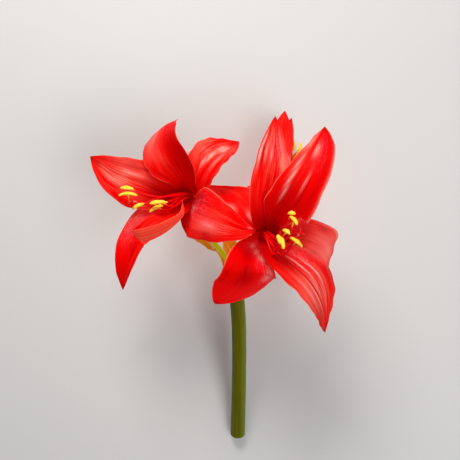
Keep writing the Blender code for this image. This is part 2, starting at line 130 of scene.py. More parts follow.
# Tube behind the tepals, with the cup that holds the filaments
TUBE_LENGTH = 14.0
TUBE_FOOT_RADIUS = 4.4
TUBE_WALL = 0.75
TUBE_SIDES = 72
OUTER_RINGS = 12
TUBE_RIDGE = 0.03
CUP_RADIUS = 4.9
CUP_DEPTH = 5.0

# Rings of the tube's rim and cup: height over the throat, radius, and what part of the mouth's is added
CUP_RINGS = ((1.4, 0.25, 1), (1.5, -0.4, 1), (-0.2, 5.6, 0), (-1.5, CUP_RADIUS, 0),
             (-CUP_DEPTH - 4, CUP_RADIUS - 1.6, 0))

# Pedicel and ovary
PEDICEL_RADIUS = 2.6
PEDICEL_SPREAD = 5.2
PEDICEL_RISE = 7.0
PEDICEL_SEAT = -0.7
PEDICEL_FLARE = 1.25
OVARY_RADIUS = 6.2
OVARY_LENGTH = 17.0
OVARY_TOP_SWELL = 0.22
OVARY_FULLNESS = 0.8
SEAT_GAP = 0.3

# Stamens and style
FILAMENT_RADII = (1.1, 0.65)
FILAMENT_RING = 3.1
STYLE_RADIUS = 0.8
STYLE_TAPER = 0.85
FILAMENT_ROWS, STYLE_ROWS, FILAMENT_SIDES = 48, 56, 14
STIGMA_REACH, STIGMA_HOOK = 2.4, 2.1
STIGMA_RADII = (0.9, 0.8, 0.72, 0.68, 0.66, 0.66, 0.64, 0.5, 0.2)
ANTHER_ROWS, ANTHER_SIDES = 26, 18
ANTHER_CURVE, ANTHER_BLUNTNESS, ANTHER_FLATNESS, ANTHER_GROOVE = 0.13, 0.42, 0.82, 0.3
GRAIN_SIZES = (0.55, 1.35)
BENT_FILAMENTS = {("left", 1): (4, -13, -8), ("right", 1): (-3.5, -14, -9)}

# Spathe valves: the radius and half width of their bases, how far they lean out, and over what height
VALVE_BASE = (9.6, 7.0, 1.5, 9.0)
VALVE_SEAT = 3.0
VALVE_EDGE = 0.7
BRACT_ROWS, BRACT_COLUMNS = 97, 41

# Points along the stalks, and the cut face from its rim to its hollow: share of the radius, and height
PEDICEL_ROWS, SCAPE_ROWS = 110, 150
SCAPE_TOP_ROWS, SCAPE_TOP = 4, 0.8
CUT_SIDES = 64
CUT_WAVE = 0.05
CUT_PROFILE = ((0.99, -1.5), (0.995, 0.0), (0.97, 0.22), (0.9, 0.28), (0.72, 0.16), (0.55, -0.1),
               (0.47, -0.9), (0.43, -2.2), (0.36, -4.0), (0.2, -4.4))


@dataclass
class Blade:
    """A tepal or a bract, by its midrib and what its cross-section does along it.

    Layer 0 is the innermost of the three that the bases form round the throat. The bearing is taken
    round the bloom's axis, anticlockwise from its right as the bloom is looked into. The midrib lists the
    points after the throat, up to the tip. Half widths are those on either side of the midrib where the
    blade is widest, at that share of its length. It rolls about its midrib by the two angles at its middle
    and tip, and its cross-section there has the two cup radii, negative where it arches away from the
    flower's axis. A wave is its height, its count along the edge and its start.
    """

    layer: int
    bearing: float
    midrib: list
    half_widths: tuple
    widest: float = 0.55
    roll: tuple = (0, 0)
    cup: tuple = (40, 40)
    wave: tuple = (0, 2, 0)
    blunt: float = 1.9


@dataclass
class Bloom:
    """One flower of the umbel: where its tepals start, the way it faces, and what it is made of."""

    name: str
    throat: tuple
    axis: tuple
    foot_bearing: float
    pedicel: list
    sag: tuple
    tepals: list
    anthers: list
    style_end: tuple


LEFT_TEPALS = [
    Blade(1, 157, [(-67, 38, 36), (-89, 45, 45), (-111, 54, 46), (-127, 64, 42), (-139, 73, 35)],
          (25, 24), widest=0.48, cup=(90, 60), blunt=1.6),
    Blade(0, 97, [(-47, 51, 51), (-57, 67, 63), (-65, 84, 60), (-63, 101, 45), (-52, 111, 30)],
          (24.5, 21), widest=0.46, cup=(60, -60), blunt=2.9),
    Blade(2, 37, [(-31, 48, 41), (-24, 62, 51), (-13, 75, 50), (9, 88, 34)],
          (22, 19), widest=0.57, cup=(50, 50)),
    Blade(1, 322, [(-36, 19, 46), (-21, 12, 63), (-4, 5, 73), (12, 0, 78), (24, 0, 76)],
          (24, 25), widest=0.34, cup=(-60, 60)),
    Blade(0, 277, [(-47, 17, 50), (-57, 12, 62), (-70, 6, 72), (-83, -5, 80), (-84, -6, 87), (-69, -2, 92),
                   (-54, 6, 94), (-43.5, 15, 94), (-43, 27, 92)],
          (10, 9), widest=0.45, roll=(-70, -70), cup=(60, 30), blunt=1.8),
    Blade(2, 217, [(-56, 20, 26), (-77, 7, 37), (-93, -11, 37), (-104, -36, 27), (-111, -62, 8)],
          (10, 20), widest=0.37, cup=(-60, 30)),
]

RIGHT_TEPALS = [
    Blade(1, 102, [(32, 14, 61), (35, 38, 66), (39, 62, 63), (42, 87, 51), (45, 113, 36)],
          (19, 23), widest=0.44, cup=(60, 30), blunt=1.5),
    Blade(0, 42, [(44, 12, 68), (60, 39, 82), (74, 63, 82), (85, 86, 72), (90, 98, 64)],
          (19, 35), widest=0.38, cup=(40, 30), blunt=1.8),
    Blade(2, 342, [(54, -9, 50), (75, -10, 56), (89, -17, 50), (97, -28, 36), (97, -42, 18)],
          (21, 20), widest=0.55, roll=(30, 25), cup=(60, -60), wave=(2.5, 2.2, 0)),
    Blade(0, 288, [(44.5, -23, 66.5), (59, -34, 77), (74, -48, 76), (86, -69, 64), (93, -100, 46)],
          (27, 24), widest=0.56, cup=(60, 30), blunt=1.6),
    Blade(1, 222, [(21, -22, 62), (17, -35, 69), (12, -48, 66), (3, -60, 54), (-15, -73, 38)],
          (34, 25), widest=0.47, cup=(-90, -60), blunt=3.2),
    Blade(2, 157, [(18, 5, 54), (8, 18, 54), (-6, 31, 46), (-23, 45, 30)],
          (14, 29), widest=0.5, cup=(60, 60)),
]

BACK_TEPALS = [
    Blade(1, 255, [(50, 77, -28), (55, 105, -35), (61, 132, -38)], (16, 16), cup=(40, 20)),
    Blade(0, 315, [(57, 72, -40), (65, 102, -54), (71, 129, -66)], (14, 14), cup=(40, 20)),
    Blade(2, 15, [(66, 56, -42), (82, 65, -70), (93, 69, -86), (102, 71, -90.8), (114, 72, -91.4)],
          (19, 19), cup=(40, 900)),
    Blade(0, 75, [(52, 54, -48), (60, 64, -72), (66, 78, -86), (70, 96, -90)],
          (17, 17), cup=(40, 60)),
    Blade(1, 135, [(34, 42, -46), (19, 33, -72), (0, 29, -88), (-12, 27, -90.8), (-25, 25, -91.1)],
          (15, 15), cup=(40, 900)),
    Blade(0, 195, [(37, 66, -46), (38.5, 89, -66), (41, 108, -76)], (15, 15), cup=(40, 40)),
]

# An anther is the point where its filament holds it, the way that it lies, and its length
LEFT_ANTHERS = [
    ((-98, 40, 64), (1, -0.1, 0.1), 13), ((-96, 34, 70), (1, 0, 0), 18),
    ((-87, 23, 68), (1, 0.5, 0.1), 13), ((-68, 26, 72), (1, 0.1, 0), 15),
    ((-70, 21, 66), (1, 0.5, -0.2), 14), ((-64, 25, 63), (1, 0.6, -0.2), 10),
]
RIGHT_ANTHERS = [
    ((54, 15, 108), (1, -0.1, 0.9), 8), ((56, 9, 112), (0.6, -0.8, 0.6), 11),
    ((50, -1, 104), (0.8, -0.5, 0.7), 9), ((47, -11, 98), (0.2, -1, 0.4), 12),
    ((59, -10, 104), (1, -0.8, 0.2), 14), ((44, -8, 98), (0.3, -1, 0.3), 9),
]
BACK_ANTHERS = [
    ((74, 97, -69), (0, 1, 0), 12), ((81, 95, -71), (0.4, 0.9, 0), 13),
    ((76, 87, -77), (0.8, 0.4, 0.2), 13), ((66, 90, -75), (0.5, 0.8, -0.3), 13),
    ((70, 84, -81), (1, 0.2, 0), 13), ((83, 86, -76), (0.8, -0.4, 0.2), 13),
]

BLOOMS = [
    Bloom("left", (-40.7, 33.6, 20), (-0.38, 0.06, 0.92), 180,
          [(-11, -20, 4), (-19, -9, 1), (-25, 8, -8), (-28, 22, -12)],
          (0, -6, 8), LEFT_TEPALS, LEFT_ANTHERS, (-92, 27, 71)),
    Bloom("right", (33.4, -7.9, 42), (0.25, 0.2, 0.95), 300, [(14, -23, 5)],
          (0, -14, -4), RIGHT_TEPALS, RIGHT_ANTHERS, (61, -3, 112)),
    Bloom("back", (38, 42, -15), (0.38, 0.62, -0.69), 30, [(11, -15, 1), (19, 6, 5)],
          (0, 0, -6), BACK_TEPALS, BACK_ANTHERS, (84, 83, -82)),
]

VALVES = [
    Blade(0, 160, [(-16, -20, -10), (-29, -12, -13), (-44, -5, -16)], (8, 8),
          widest=0.4, roll=(60, 60), cup=(14, 12), wave=(1.2, 3, 0)),
    Blade(0, 72, [(0, -13, -16), (1, 0, -21), (4, 14, -25)], (9, 9),
          widest=0.4, cup=(14, 12), wave=(1.2, 3, 1)),
]

# Relief of a petal, in millimetres and shares of its half width
CREASES = 7
CREASE_SPAN = 1.9
CREASE_SHIFT = 0.35
CREASE_DEPTH = 0.6
CREASE_WIDTH = 0.06
MIDRIB_DEPTH = 0.7
MIDRIB_WIDTH = 0.06
PUCKER_HEIGHT = 0.5
RUFFLE_HEIGHT = 0.7
RUFFLE_COUNT = 7.0
RUFFLE_EDGE = 7
EDGE_WANDER = 0.018
RELIEF_START = 0.14
RELIEF_FULL = 0.42
TIP_POINT = 0.35
SOLID_TIP = 1.1
ANY_PHASE = 6.3

# How a blade thins towards its edge and its tip
EDGE_TAPER = 3
TIP_THINNING = 0.4
TIP_EDGE = 0.6

# An edge that swells nowhere: its side, how much, at what share and how far
NO_SWELL = (0, 0.0, 0.5, 1.0)
# Spots on the petals: painted pink sheen, painted orange-pink sheen, painted glow, painted shade and painted
# highlights on folds
SPOT_MARKS = ("rose_sheen", "blush_sheen", "lit", "dark", "gleam")


@dataclass
class Look:
    """What sets the surface of one petal apart.

    It is how folded the petal is, how much painted orange-pink sheen, painted highlight streaks and coat its
    red gets on either side of the midrib, and where an edge swells a little to close a gap beside it. Its
    spots are a painted pink sheen with painted highlight specks, a painted orange-pink sheen, a painted
    glow, painted shade of a deeper red, or painted highlights on folds. Each spot is how strong it is, its
    middle across the petal and along it, and how far it spreads either way.
    """

    folded: float = 0.6
    pale: tuple = (0.4, 0.4)
    filled: tuple = NO_SWELL
    rose_sheen: tuple = ()
    blush_sheen: tuple = ()
    lit: tuple = ()
    dark: tuple = ()
    gleam: tuple = ()


# Each petal's look, with its spots of painted sheen, glow, shade and highlights
LOOKS = {
    "left_tepal_1": Look(0.5, (0.6, 0.9), blush_sheen=[(0.4, 0.7, 0.62, 0.3, 0.2)],
        dark=[(0.35, 0.0, 0.3, 0.8, 0.14), (0.45, 0.0, 0.9, 0.4, 0.05), (0.4, 0.12, 0.42, 0.05, 0.2)],
        gleam=[(0.35, -0.35, 0.68, 0.1, 0.1), (0.35, 0.3, 0.55, 0.06, 0.12), (0.3, 0.0, 0.75, 0.06, 0.1)]),
    "left_tepal_2": Look(0.35, (0.2, 0.0), filled=(1, 0.12, 0.17, 0.05),
        blush_sheen=[(0.65, -0.6, 0.74, 0.35, 0.16)], lit=[(0.9, 0.9, 0.1, 0.5, 0.08)],
        dark=[(0.45, 0.7, 0.5, 0.5, 0.3), (0.6, 0.2, 0.4, 0.06, 0.22), (0.5, -0.2, 0.33, 0.05, 0.2)]),
    "left_tepal_3": Look(0.8, (1.0, 0.6), lit=[(0.6, 0.3, 0.35, 0.8, 0.15)],
        dark=[(0.6, -0.32, 0.42, 0.06, 0.18), (0.6, 0.08, 0.38, 0.05, 0.2), (0.35, 0.0, 0.9, 0.5, 0.06)],
        gleam=[(1.0, 0.05, 0.76, 0.22, 0.06), (0.9, -0.2, 0.48, 0.07, 0.06), (0.8, -0.05, 0.57, 0.06, 0.06),
        (0.7, 0.4, 0.6, 0.1, 0.12)]),
    "left_tepal_4": Look(0.3, (0.15, 0.3), filled=(0, 0.09, 0.36, 0.09), rose_sheen=[(0.9, -0.2, 0.24, 0.6, 0.16),
        (0.7, 0.3, 0.53, 0.25, 0.1)], blush_sheen=[(0.45, 0.35, 0.48, 0.35, 0.14)],
        dark=[(0.35, 0.9, 0.4, 0.3, 0.3), (0.4, -0.45, 0.4, 0.05, 0.2)],
        gleam=[(0.7, -0.1, 0.26, 0.2, 0.03), (0.3, 0.3, 0.55, 0.1, 0.07), (0.5, -0.5, 0.95, 0.2, 0.02)]),
    "left_tepal_5": Look(0.5, (0.4, 0.4)),
    "left_tepal_6": Look(0.7, (0.15, 0.0), rose_sheen=[(1.0, 0.7, 0.44, 0.6, 0.12)],
        blush_sheen=[(0.35, 0.7, 0.42, 0.4, 0.12)], lit=[(1.2, 0.0, 0.5, 1.5, 0.3)]),
    "right_tepal_1": Look(0.7, (0.6, 1.2), rose_sheen=[(0.7, 0.4, 0.72, 0.5, 0.12)],
        lit=[(0.8, 0.0, 0.34, 1.0, 0.14)], dark=[(0.35, 0.2, 0.3, 0.6, 0.2), (0.7, -0.62, 0.84, 0.12, 0.08),
        (1.0, 0.6, 0.0, 1.2, 0.18), (0.6, -0.1, 0.36, 0.05, 0.2), (0.45, -0.45, 0.42, 0.04, 0.2)],
        gleam=[(1.4, -0.84, 0.63, 0.08, 0.11), (1.2, -0.78, 0.76, 0.08, 0.07),
        (0.8, -0.45, 0.66, 0.08, 0.08), (0.7, -0.05, 0.65, 0.07, 0.06)]),
    "right_tepal_2": Look(0.8, (0.15, 0.0), rose_sheen=[(0.5, 0.3, 0.82, 0.3, 0.12)],
        blush_sheen=[(0.85, 1.0, 0.6, 0.1, 0.28)], dark=[(0.6, 0.1, 0.34, 0.9, 0.22), (0.3, 0.6, 0.6, 0.3, 0.3),
        (1.0, 0.0, 0.0, 1.2, 0.19), (0.8, -0.25, 0.42, 0.05, 0.2), (0.8, 0.28, 0.4, 0.06, 0.2),
        (0.6, 0.6, 0.45, 0.05, 0.2)], gleam=[(1.0, -0.45, 0.54, 0.07, 0.08), (0.9, -0.35, 0.43, 0.06, 0.06),
        (0.6, 0.2, 0.56, 0.03, 0.07), (0.9, 0.05, 0.79, 0.14, 0.05), (0.7, -0.62, 0.66, 0.1, 0.08),
        (0.7, -0.8, 0.85, 0.2, 0.1)]),
    "right_tepal_3": Look(1.0, (0.4, 0.4), filled=(0, 0.19, 0.33, 0.1), rose_sheen=[(0.7, -0.9, 0.3, 0.4, 0.15)],
        blush_sheen=[(0.95, 0.1, 0.66, 1.2, 0.26)], lit=[(1.6, 0.1, 0.66, 1.6, 0.3)],
        dark=[(0.5, -0.75, 0.5, 0.16, 0.05), (0.4, -0.4, 0.36, 0.5, 0.1)],
        gleam=[(0.7, -0.96, 0.62, 0.05, 0.16), (0.5, -0.2, 0.7, 0.12, 0.1)]),
    "right_tepal_4": Look(1.7, (0.5, 0.65), rose_sheen=[(0.6, -0.5, 0.35, 0.42, 0.16)],
        blush_sheen=[(0.5, -1.0, 0.5, 0.12, 0.3), (0.55, 0.4, 0.64, 0.3, 0.16)], dark=[(0.5, 0.0, 0.24, 0.8, 0.1),
        (0.25, 0.5, 0.8, 0.5, 0.15), (0.5, 0.0, 0.5, 0.04, 0.2)], gleam=[(1.5, -0.22, 0.44, 0.03, 0.14),
        (1.2, -0.12, 0.6, 0.035, 0.1), (1.4, -0.44, 0.52, 0.03, 0.14), (0.9, 0.12, 0.62, 0.04, 0.14),
        (0.8, 0.4, 0.55, 0.05, 0.12)]),
    "right_tepal_5": Look(0.3, (0.0, 0.0), filled=(1, 0.26, 0.16, 0.05), rose_sheen=[(1.0, 0.0, 0.21, 0.5, 0.06),
        (1.0, -0.55, 0.29, 0.32, 0.09), (0.9, -0.75, 0.44, 0.25, 0.14)], lit=[(0.7, 0.2, 0.3, 0.8, 0.15),
        (1.0, 0.2, 0.85, 1.6, 0.22)], dark=[(0.65, 0.0, 0.48, 0.35, 0.13), (0.55, 0.2, 0.32, 0.3, 0.09)],
        gleam=[(1.2, -0.52, 0.26, 0.16, 0.03), (0.9, -0.16, 0.225, 0.16, 0.025),
        (0.8, 0.2, 0.2, 0.15, 0.02), (0.8, -0.78, 0.36, 0.1, 0.05), (0.7, -0.72, 0.47, 0.12, 0.05)]),
    "right_tepal_6": Look(0.3, (0.0, 0.1), rose_sheen=[(0.6, 0.4, 0.33, 0.2, 0.08)],
        dark=[(0.5, 0.2, 0.2, 0.8, 0.14)], gleam=[(1.2, 0.35, 0.32, 0.1, 0.06),
        (1.0, -0.15, 0.52, 0.16, 0.05)]),
    "back_tepal_1": Look(0.6, (0.0, 0.0)),
    "back_tepal_2": Look(0.6, (0.0, 0.0)),
}
# How wide across the midrib a petal's two pale values blend; pale sets its painted sheen and highlight
# streaks, its coat and the salmon of its back
PALE_BLEND = 0.35
FLOOR_SOFTNESS = 0.5

# Camera: it stands over the flower where the photo's camera stood in front of it
CAMERA_HEIGHT = 670.0
LENS = 50.0
SENSOR = 36.0
CLIP_START = 0.01

# Stage, in metres: the floor's half width, and each light's place and size
FLOOR_REACH = 4.0
KEY_LIGHT = ((-0.20, 1.05, 0.95), 0.6)
FILL_LIGHT = ((0.55, -0.35, 1.25), 0.8)
BLACK = (0.0, 0.0, 0.0)


def unit(vector):
    vector = np.asarray(vector, dtype=float)
    return vector / np.linalg.norm(vector)


def smooth_path(points, count):
    """Evenly spaced points on a Catmull-Rom curve through the given ones, and its length."""
    points = np.asarray(points, dtype=float)
    ends = np.vstack([2 * points[0] - points[1], points, 2 * points[-1] - points[-2]])
    fine = []
    for a, b, c, d in zip(ends[:-3], ends[1:-2], ends[2:-1], ends[3:]):
        for t in np.linspace(0.0, 1.0, PATH_STEPS, endpoint=False):
            cubic = (3 * b - a - 3 * c + d) * t ** 3
            square = (2 * a - 5 * b + 4 * c - d) * t ** 2
            fine.append(0.5 * (2 * b + (c - a) * t + square + cubic))
    fine = np.array(fine + [points[-1]])
    steps = np.linalg.norm(np.diff(fine, axis=0), axis=1)
    run = np.concatenate([[0.0], np.cumsum(steps)])
    at = np.linspace(0.0, run[-1], count)
    return np.stack([np.interp(at, run, fine[:, i]) for i in range(3)], axis=1), run[-1]


def carried_normals(path, normal):
    """Unit normals along a path, each carried on from the one before it."""
    normals = []
    for tangent in np.gradient(path, axis=0):
        ahead = unit(tangent)
        normal = unit(normal - ahead * np.dot(normal, ahead))
        normals.append(normal)
    return np.array(normals)


def solid_frames(line, first_normal, path, shares):
    """Tangents of a finely spaced path, with the normals that the solid's few rows carry along it."""
    coarse, _ = smooth_path(line, SOLID_ROWS)
    carried = carried_normals(coarse, first_normal)
    coarse_shares = np.linspace(0.0, 1.0, SOLID_ROWS)
    tangents = np.gradient(path, axis=0)
    tangents /= np.linalg.norm(tangents, axis=1, keepdims=True)
    normals = np.stack([np.interp(shares, coarse_shares, carried[:, i]) for i in range(3)], axis=1)
    normals -= tangents * np.sum(normals * tangents, axis=1, keepdims=True)
    return tangents, normals / np.linalg.norm(normals, axis=1, keepdims=True)


def radial(axis, bearing):
    """The way out from an axis at a bearing."""
    axis = unit(axis)
    right = unit(np.array([1.0, 0.0, 0.0]) - axis * axis[0])
    up = np.cross(axis, right)
    angle = math.radians(bearing)
    return right * math.cos(angle) + up * math.sin(angle)


def smooth_step(low, high, value):
    share = np.clip((value - low) / (high - low), 0.0, 1.0)
    return share * share * (3 - 2 * share)


def bell(place, middle, width):
    """1 at the middle, falling away smoothly on both sides."""
    return np.exp(-((place - middle) / width) ** 2)


def random_waves(draw, low, high, count):
    """Random waves, each with its pace and its start."""
    return [(draw.uniform(low, high), draw.uniform(0, ANY_PHASE)) for _ in range(count)]


class Relief:
    """The small unevenness of one blade: creases along it, puckers over it and ruffles at its edge."""

    def __init__(self, seed, folded=1.0, filled=NO_SWELL):
        draw = random.Random(seed)
        self.folded = folded
        self.filled = filled
        self.creases = []
        for index in range(CREASES):
            place_in = (index + 0.5 + draw.uniform(-CREASE_SHIFT, CREASE_SHIFT)) / CREASES
            centre = (place_in - 0.5) * CREASE_SPAN
            depth = draw.uniform(0.35, 1.0) * draw.choice((-1, 1))
            self.creases.append((centre, depth, draw.uniform(-0.1, 0.1), draw.uniform(0.7, 1.5)))
        self.puckers = [(draw.uniform(1.5, 4.5), *random_waves(draw, 4, 13, 1)[0]) for _ in range(6)]
        self.ruffles = random_waves(draw, 0.7, 1.3, 4)
        self.edges = random_waves(draw, 8, 34, 6)

    def lift(self, t, s):
        """Height over the blade at a place across it, from -1 to 1, and a share of its length."""
        grown = smooth_step(RELIEF_START, RELIEF_FULL, s) * (1 - 0.6 * smooth_step(0.85, 1.0, s))
        lift = -MIDRIB_DEPTH * bell(t, 0, MIDRIB_WIDTH) * (1 - 0.7 * s)
        for centre, depth, drift, spread in self.creases:
            crease = bell(t, centre + drift * math.sin(3 * s), CREASE_WIDTH * spread)
            lift += CREASE_DEPTH * self.folded * depth * crease
        for across, along, start in self.puckers:
            lift += PUCKER_HEIGHT / 3 * math.sin(along * s + start) * np.cos(across * t + start)
        for side in (-1, 1):
            turn = RUFFLE_COUNT * 2 * math.pi * s
            wave = sum(math.sin(pace * turn + start + side) for pace, start in self.ruffles)
            ruffle = RUFFLE_HEIGHT * min(self.folded, 1.0) * wave / 2
            lift += ruffle * np.where(t * side > 0, np.abs(t) ** RUFFLE_EDGE, 0)
        return lift * grown

    def edge(self, s, side):
        """How far the edge wanders in or out, as a share of the half width."""
        return EDGE_WANDER * sum(math.sin(pace * s + start + 2.1 * side) for pace, start in self.edges) / 2

    def fill(self, s, side):
        """How far the edge swells beside a gap, as a share of the half width."""
        filled_side, height, middle, spread = self.filled
        return height * bell(s, middle, spread) if side == filled_side else 0.0


def half_width(blade, share, side, half_base, away, tip):
    """Half width at a share of the length: it swells from the base, then runs out to the tip."""
    widest = blade.half_widths[side]
    if share < blade.widest:
        swell = half_base + (widest - half_base) * math.sin(share / blade.widest * math.pi / 2)
        return min(swell, away * math.pi / 3 * LAYER_SHARE[blade.layer])
    rest = (share - blade.widest) / (1 - blade.widest)
    return max(widest * (1 - rest ** blade.blunt) ** TIP_FULLNESS, tip)


def edge_wave(blade, share, side, half):
    """How far the wave lifts the very edge of a blade at a share of its length."""
    height, count, start = blade.wave
    run_in = min(1.0, max(0.0, (share - WAVE_START) / WAVE_RUN_IN))
    full = height * run_in * min(1.0, half / WAVE_FADE_WIDTH)
    return full * math.sin(2 * math.pi * count * share + start + WAVE_LEAD * side)


def blade_grid(blade, root, axis, base, rows, columns, relief=None, tip=TIP_POINT):
    """Rows of points across a blade, from its curved base to its tip."""
    radius, half_base, opening, rise = base
    axis = unit(axis)
    out = radial(axis, blade.bearing)
    root = np.asarray(root, dtype=float)
    start = root + out * radius
    mouth = root + out * (radius + opening) + axis * rise
    line = [start, mouth] + blade.midrib
    midrib, length = smooth_path(line, rows)
    shares = np.linspace(0.0, 1.0, rows)
    tangents, normals = solid_frames(line, -out, midrib, shares)
    rolls = np.radians(np.interp(shares, [0, ROLL_START, BLADE_MIDDLE, 1], [0, 0, *blade.roll]))
    offsets = midrib - root
    aways = np.linalg.norm(offsets - np.outer(offsets @ axis, axis), axis=1)
    ringed = np.interp(shares, [0, rise / length, RING_END], [1, 1, 0])
    cups = np.interp(shares, [0, BLADE_MIDDLE, 1], [0, 1 / blade.cup[0], 1 / blade.cup[1]])
    bends = ringed / aways + (1 - ringed) * cups
    places = np.linspace(-1.0, 1.0, columns)
    sides = (places >= 0).astype(int)
    grid = np.zeros((rows, columns, 3))
    for row, share in enumerate(shares):
        roll = rolls[row]
        face = normals[row] * math.cos(roll) + np.cross(tangents[row], normals[row]) * math.sin(roll)
        across = np.cross(tangents[row], face)
        halves = [half_width(blade, share, side, half_base, aways[row], tip) for side in (0, 1)]
        waves = [edge_wave(blade, share, side, halves[side]) for side in (0, 1)]
        if relief:
            grown = smooth_step(RELIEF_START, RELIEF_FULL, share)
            halves = [halves[side] * (1 + relief.edge(share, side) * grown + relief.fill(share, side))
                      for side in (0, 1)]
        reach = places * np.array(halves)[sides]
        arc = reach * bends[row]
        sideways = reach * np.sinc(arc / math.pi)
        lift = reach * np.sin(arc / 2) * np.sinc(arc / 2 / math.pi)
        lift += np.array(waves)[sides] * places ** 2
        if relief:
            lift += relief.lift(places, share) * min(1.0, max(halves) / WAVE_FADE_WIDTH)
        grid[row] = midrib[row] + np.outer(sideways, across) + np.outer(lift, face)
    return grid


def rest_turn():
    """The flower's turn onto its three low points, and how high its frame then stands."""
    first, second, third = (np.asarray(point, dtype=float) for point in REST_POINTS)
    up = unit(np.cross(third - first, second - first))
    right = unit(np.array([1.0, 0.0, 0.0]) - up * up[0])
    return np.array((right, np.cross(up, right), up)), -up.dot(first)


def laid_place():
    """The whole move from the flower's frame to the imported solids: its turn, its height and its shift."""
    turn, height = rest_turn()
    shifts = []
    for bloom in BLOOMS:
        for number, tepal in enumerate(bloom.tepals, 1):
            grid = tepal_grid(bloom, tepal, SOLID_ROWS, SOLID_COLUMNS, tip=SOLID_TIP)
            laid = grid.reshape(-1, 3) @ turn.T
            low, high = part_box("%s_tepal_%d" % (bloom.name, number))
            middle = (np.array(low) + np.array(high)) / 2 / MM
            shifts.append(middle - (laid.min(0) + laid.max(0)) / 2)
    shift = np.median(shifts, axis=0)
    return turn, np.array((shift[0], shift[1], height))


def tepal_grid(bloom, tepal, rows, columns, relief=None, tip=TIP_POINT):
    layer = tepal.layer
    base = (LAYER_RADIUS[layer], LAYER_HALF_BASE[layer], LAYER_OPENING[layer], THROAT_LENGTH)
    return blade_grid(tepal, bloom.throat, bloom.axis, base, rows, columns, relief, tip)


TURN, SHIFT = laid_place()


def laid(points):
    """Points of the flower's frame, in millimetres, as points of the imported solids, in metres."""
    return (np.asarray(points, dtype=float).reshape(-1, 3) @ TURN.T + SHIFT) * MM


def kept_up(grid, lift):
    """A sheet of points with whatever would sink under the surface laid flat on it."""
    low = grid @ TURN.T + SHIFT
    low[..., 2] = lift + FLOOR_SOFTNESS * np.logaddexp(0.0, (low[..., 2] - lift) / FLOOR_SOFTNESS)
    return (low - SHIFT) @ TURN


def maths(operation, *lead):
    """A Wire's method for an operator: it adds the Math node of that operation."""
    return lambda wire, *others: wire.math(operation, *lead, *others)


class Wire:
    """A socket that can stand in a sum: each operator adds a Math node to the socket's tree."""

    __add__ = __radd__ = maths("ADD")
    __sub__ = maths("SUBTRACT")
    __rsub__ = maths("MULTIPLY_ADD", -1.0)
    __mul__ = __rmul__ = maths("MULTIPLY")
    __pow__ = maths("POWER")
    __abs__ = maths("ABSOLUTE")

    def __init__(self, socket):
        self.socket = socket

    def math(self, operation, *others, clamp=False):
        node = self.socket.id_data.nodes.new("ShaderNodeMath")
        node.operation = operation
        node.use_clamp = clamp
        for slot, value in zip(node.inputs, (self, *others)):
            plug(slot, value)
        return Wire(node.outputs[0])

    def other(self, name):
        return Wire(self.socket.node.outputs[name])

    def ramp(self, low, high):
        """0 below low and 1 above high, or the other way round where low is the greater."""
        return self.math("MULTIPLY_ADD", 1 / (high - low), -low / (high - low), clamp=True)


def plug(slot, value):
    """Gives a socket a value, or links a wire to it."""
    if isinstance(value, Wire):
        slot.id_data.links.new(value.socket, slot)
    else:
        slot.default_value = value


def rgba(colour):
    return colour if isinstance(colour, Wire) else (*tuple(colour)[:3], 1.0)


def tinted(colour, strength):
    return tuple(min(1.0, strength * part) for part in colour)


class Board:
    """A node tree under construction."""

    def __init__(self, tree):
        self.tree = tree

    def add(self, kind, values=None, out=0, **settings):
        """Adds a node: its settings first, then the value or link of each of its sockets."""
        node = self.tree.nodes.new(kind)
        for name, value in settings.items():
            setattr(node, name, value)
        for name, value in (values or {}).items():
            plug(node.inputs[name], value)
        return Wire(node.outputs[out]) if node.outputs else node

    def noise(self, vector, scale=1.0, detail=2.0, roughness=0.5):
        values = {"Vector": vector, "Scale": scale, "Detail": detail, "Roughness": roughness}
        return self.add("ShaderNodeTexNoise", values)

    def strands(self, x, y, z, detail=2.0, roughness=0.5):
        """Noise at a point of three coordinates, which stretch it."""
        point = self.add("ShaderNodeCombineXYZ", {0: x, 1: y, 2: z})
        return self.noise(point, 1.0, detail, roughness)

    def store(self, geometry, name, value):
        """Geometry whose points carry a number under a name."""
        values = {"Geometry": geometry, "Name": name, "Value": value}
        return self.add("GeometryNodeStoreNamedAttribute", values, data_type="FLOAT", domain="POINT")

    def hand_out(self, geometry, given):
        """Gives what the tree has built the material that was handed in, and makes it the tree's result."""
        geometry = self.add("GeometryNodeRealizeInstances", {"Geometry": geometry})
        values = {"Geometry": geometry, "Material": given.other("Material")}
        self.add("NodeGroupOutput", {"Geometry": self.add("GeometryNodeSetMaterial", values)})
        return self.tree


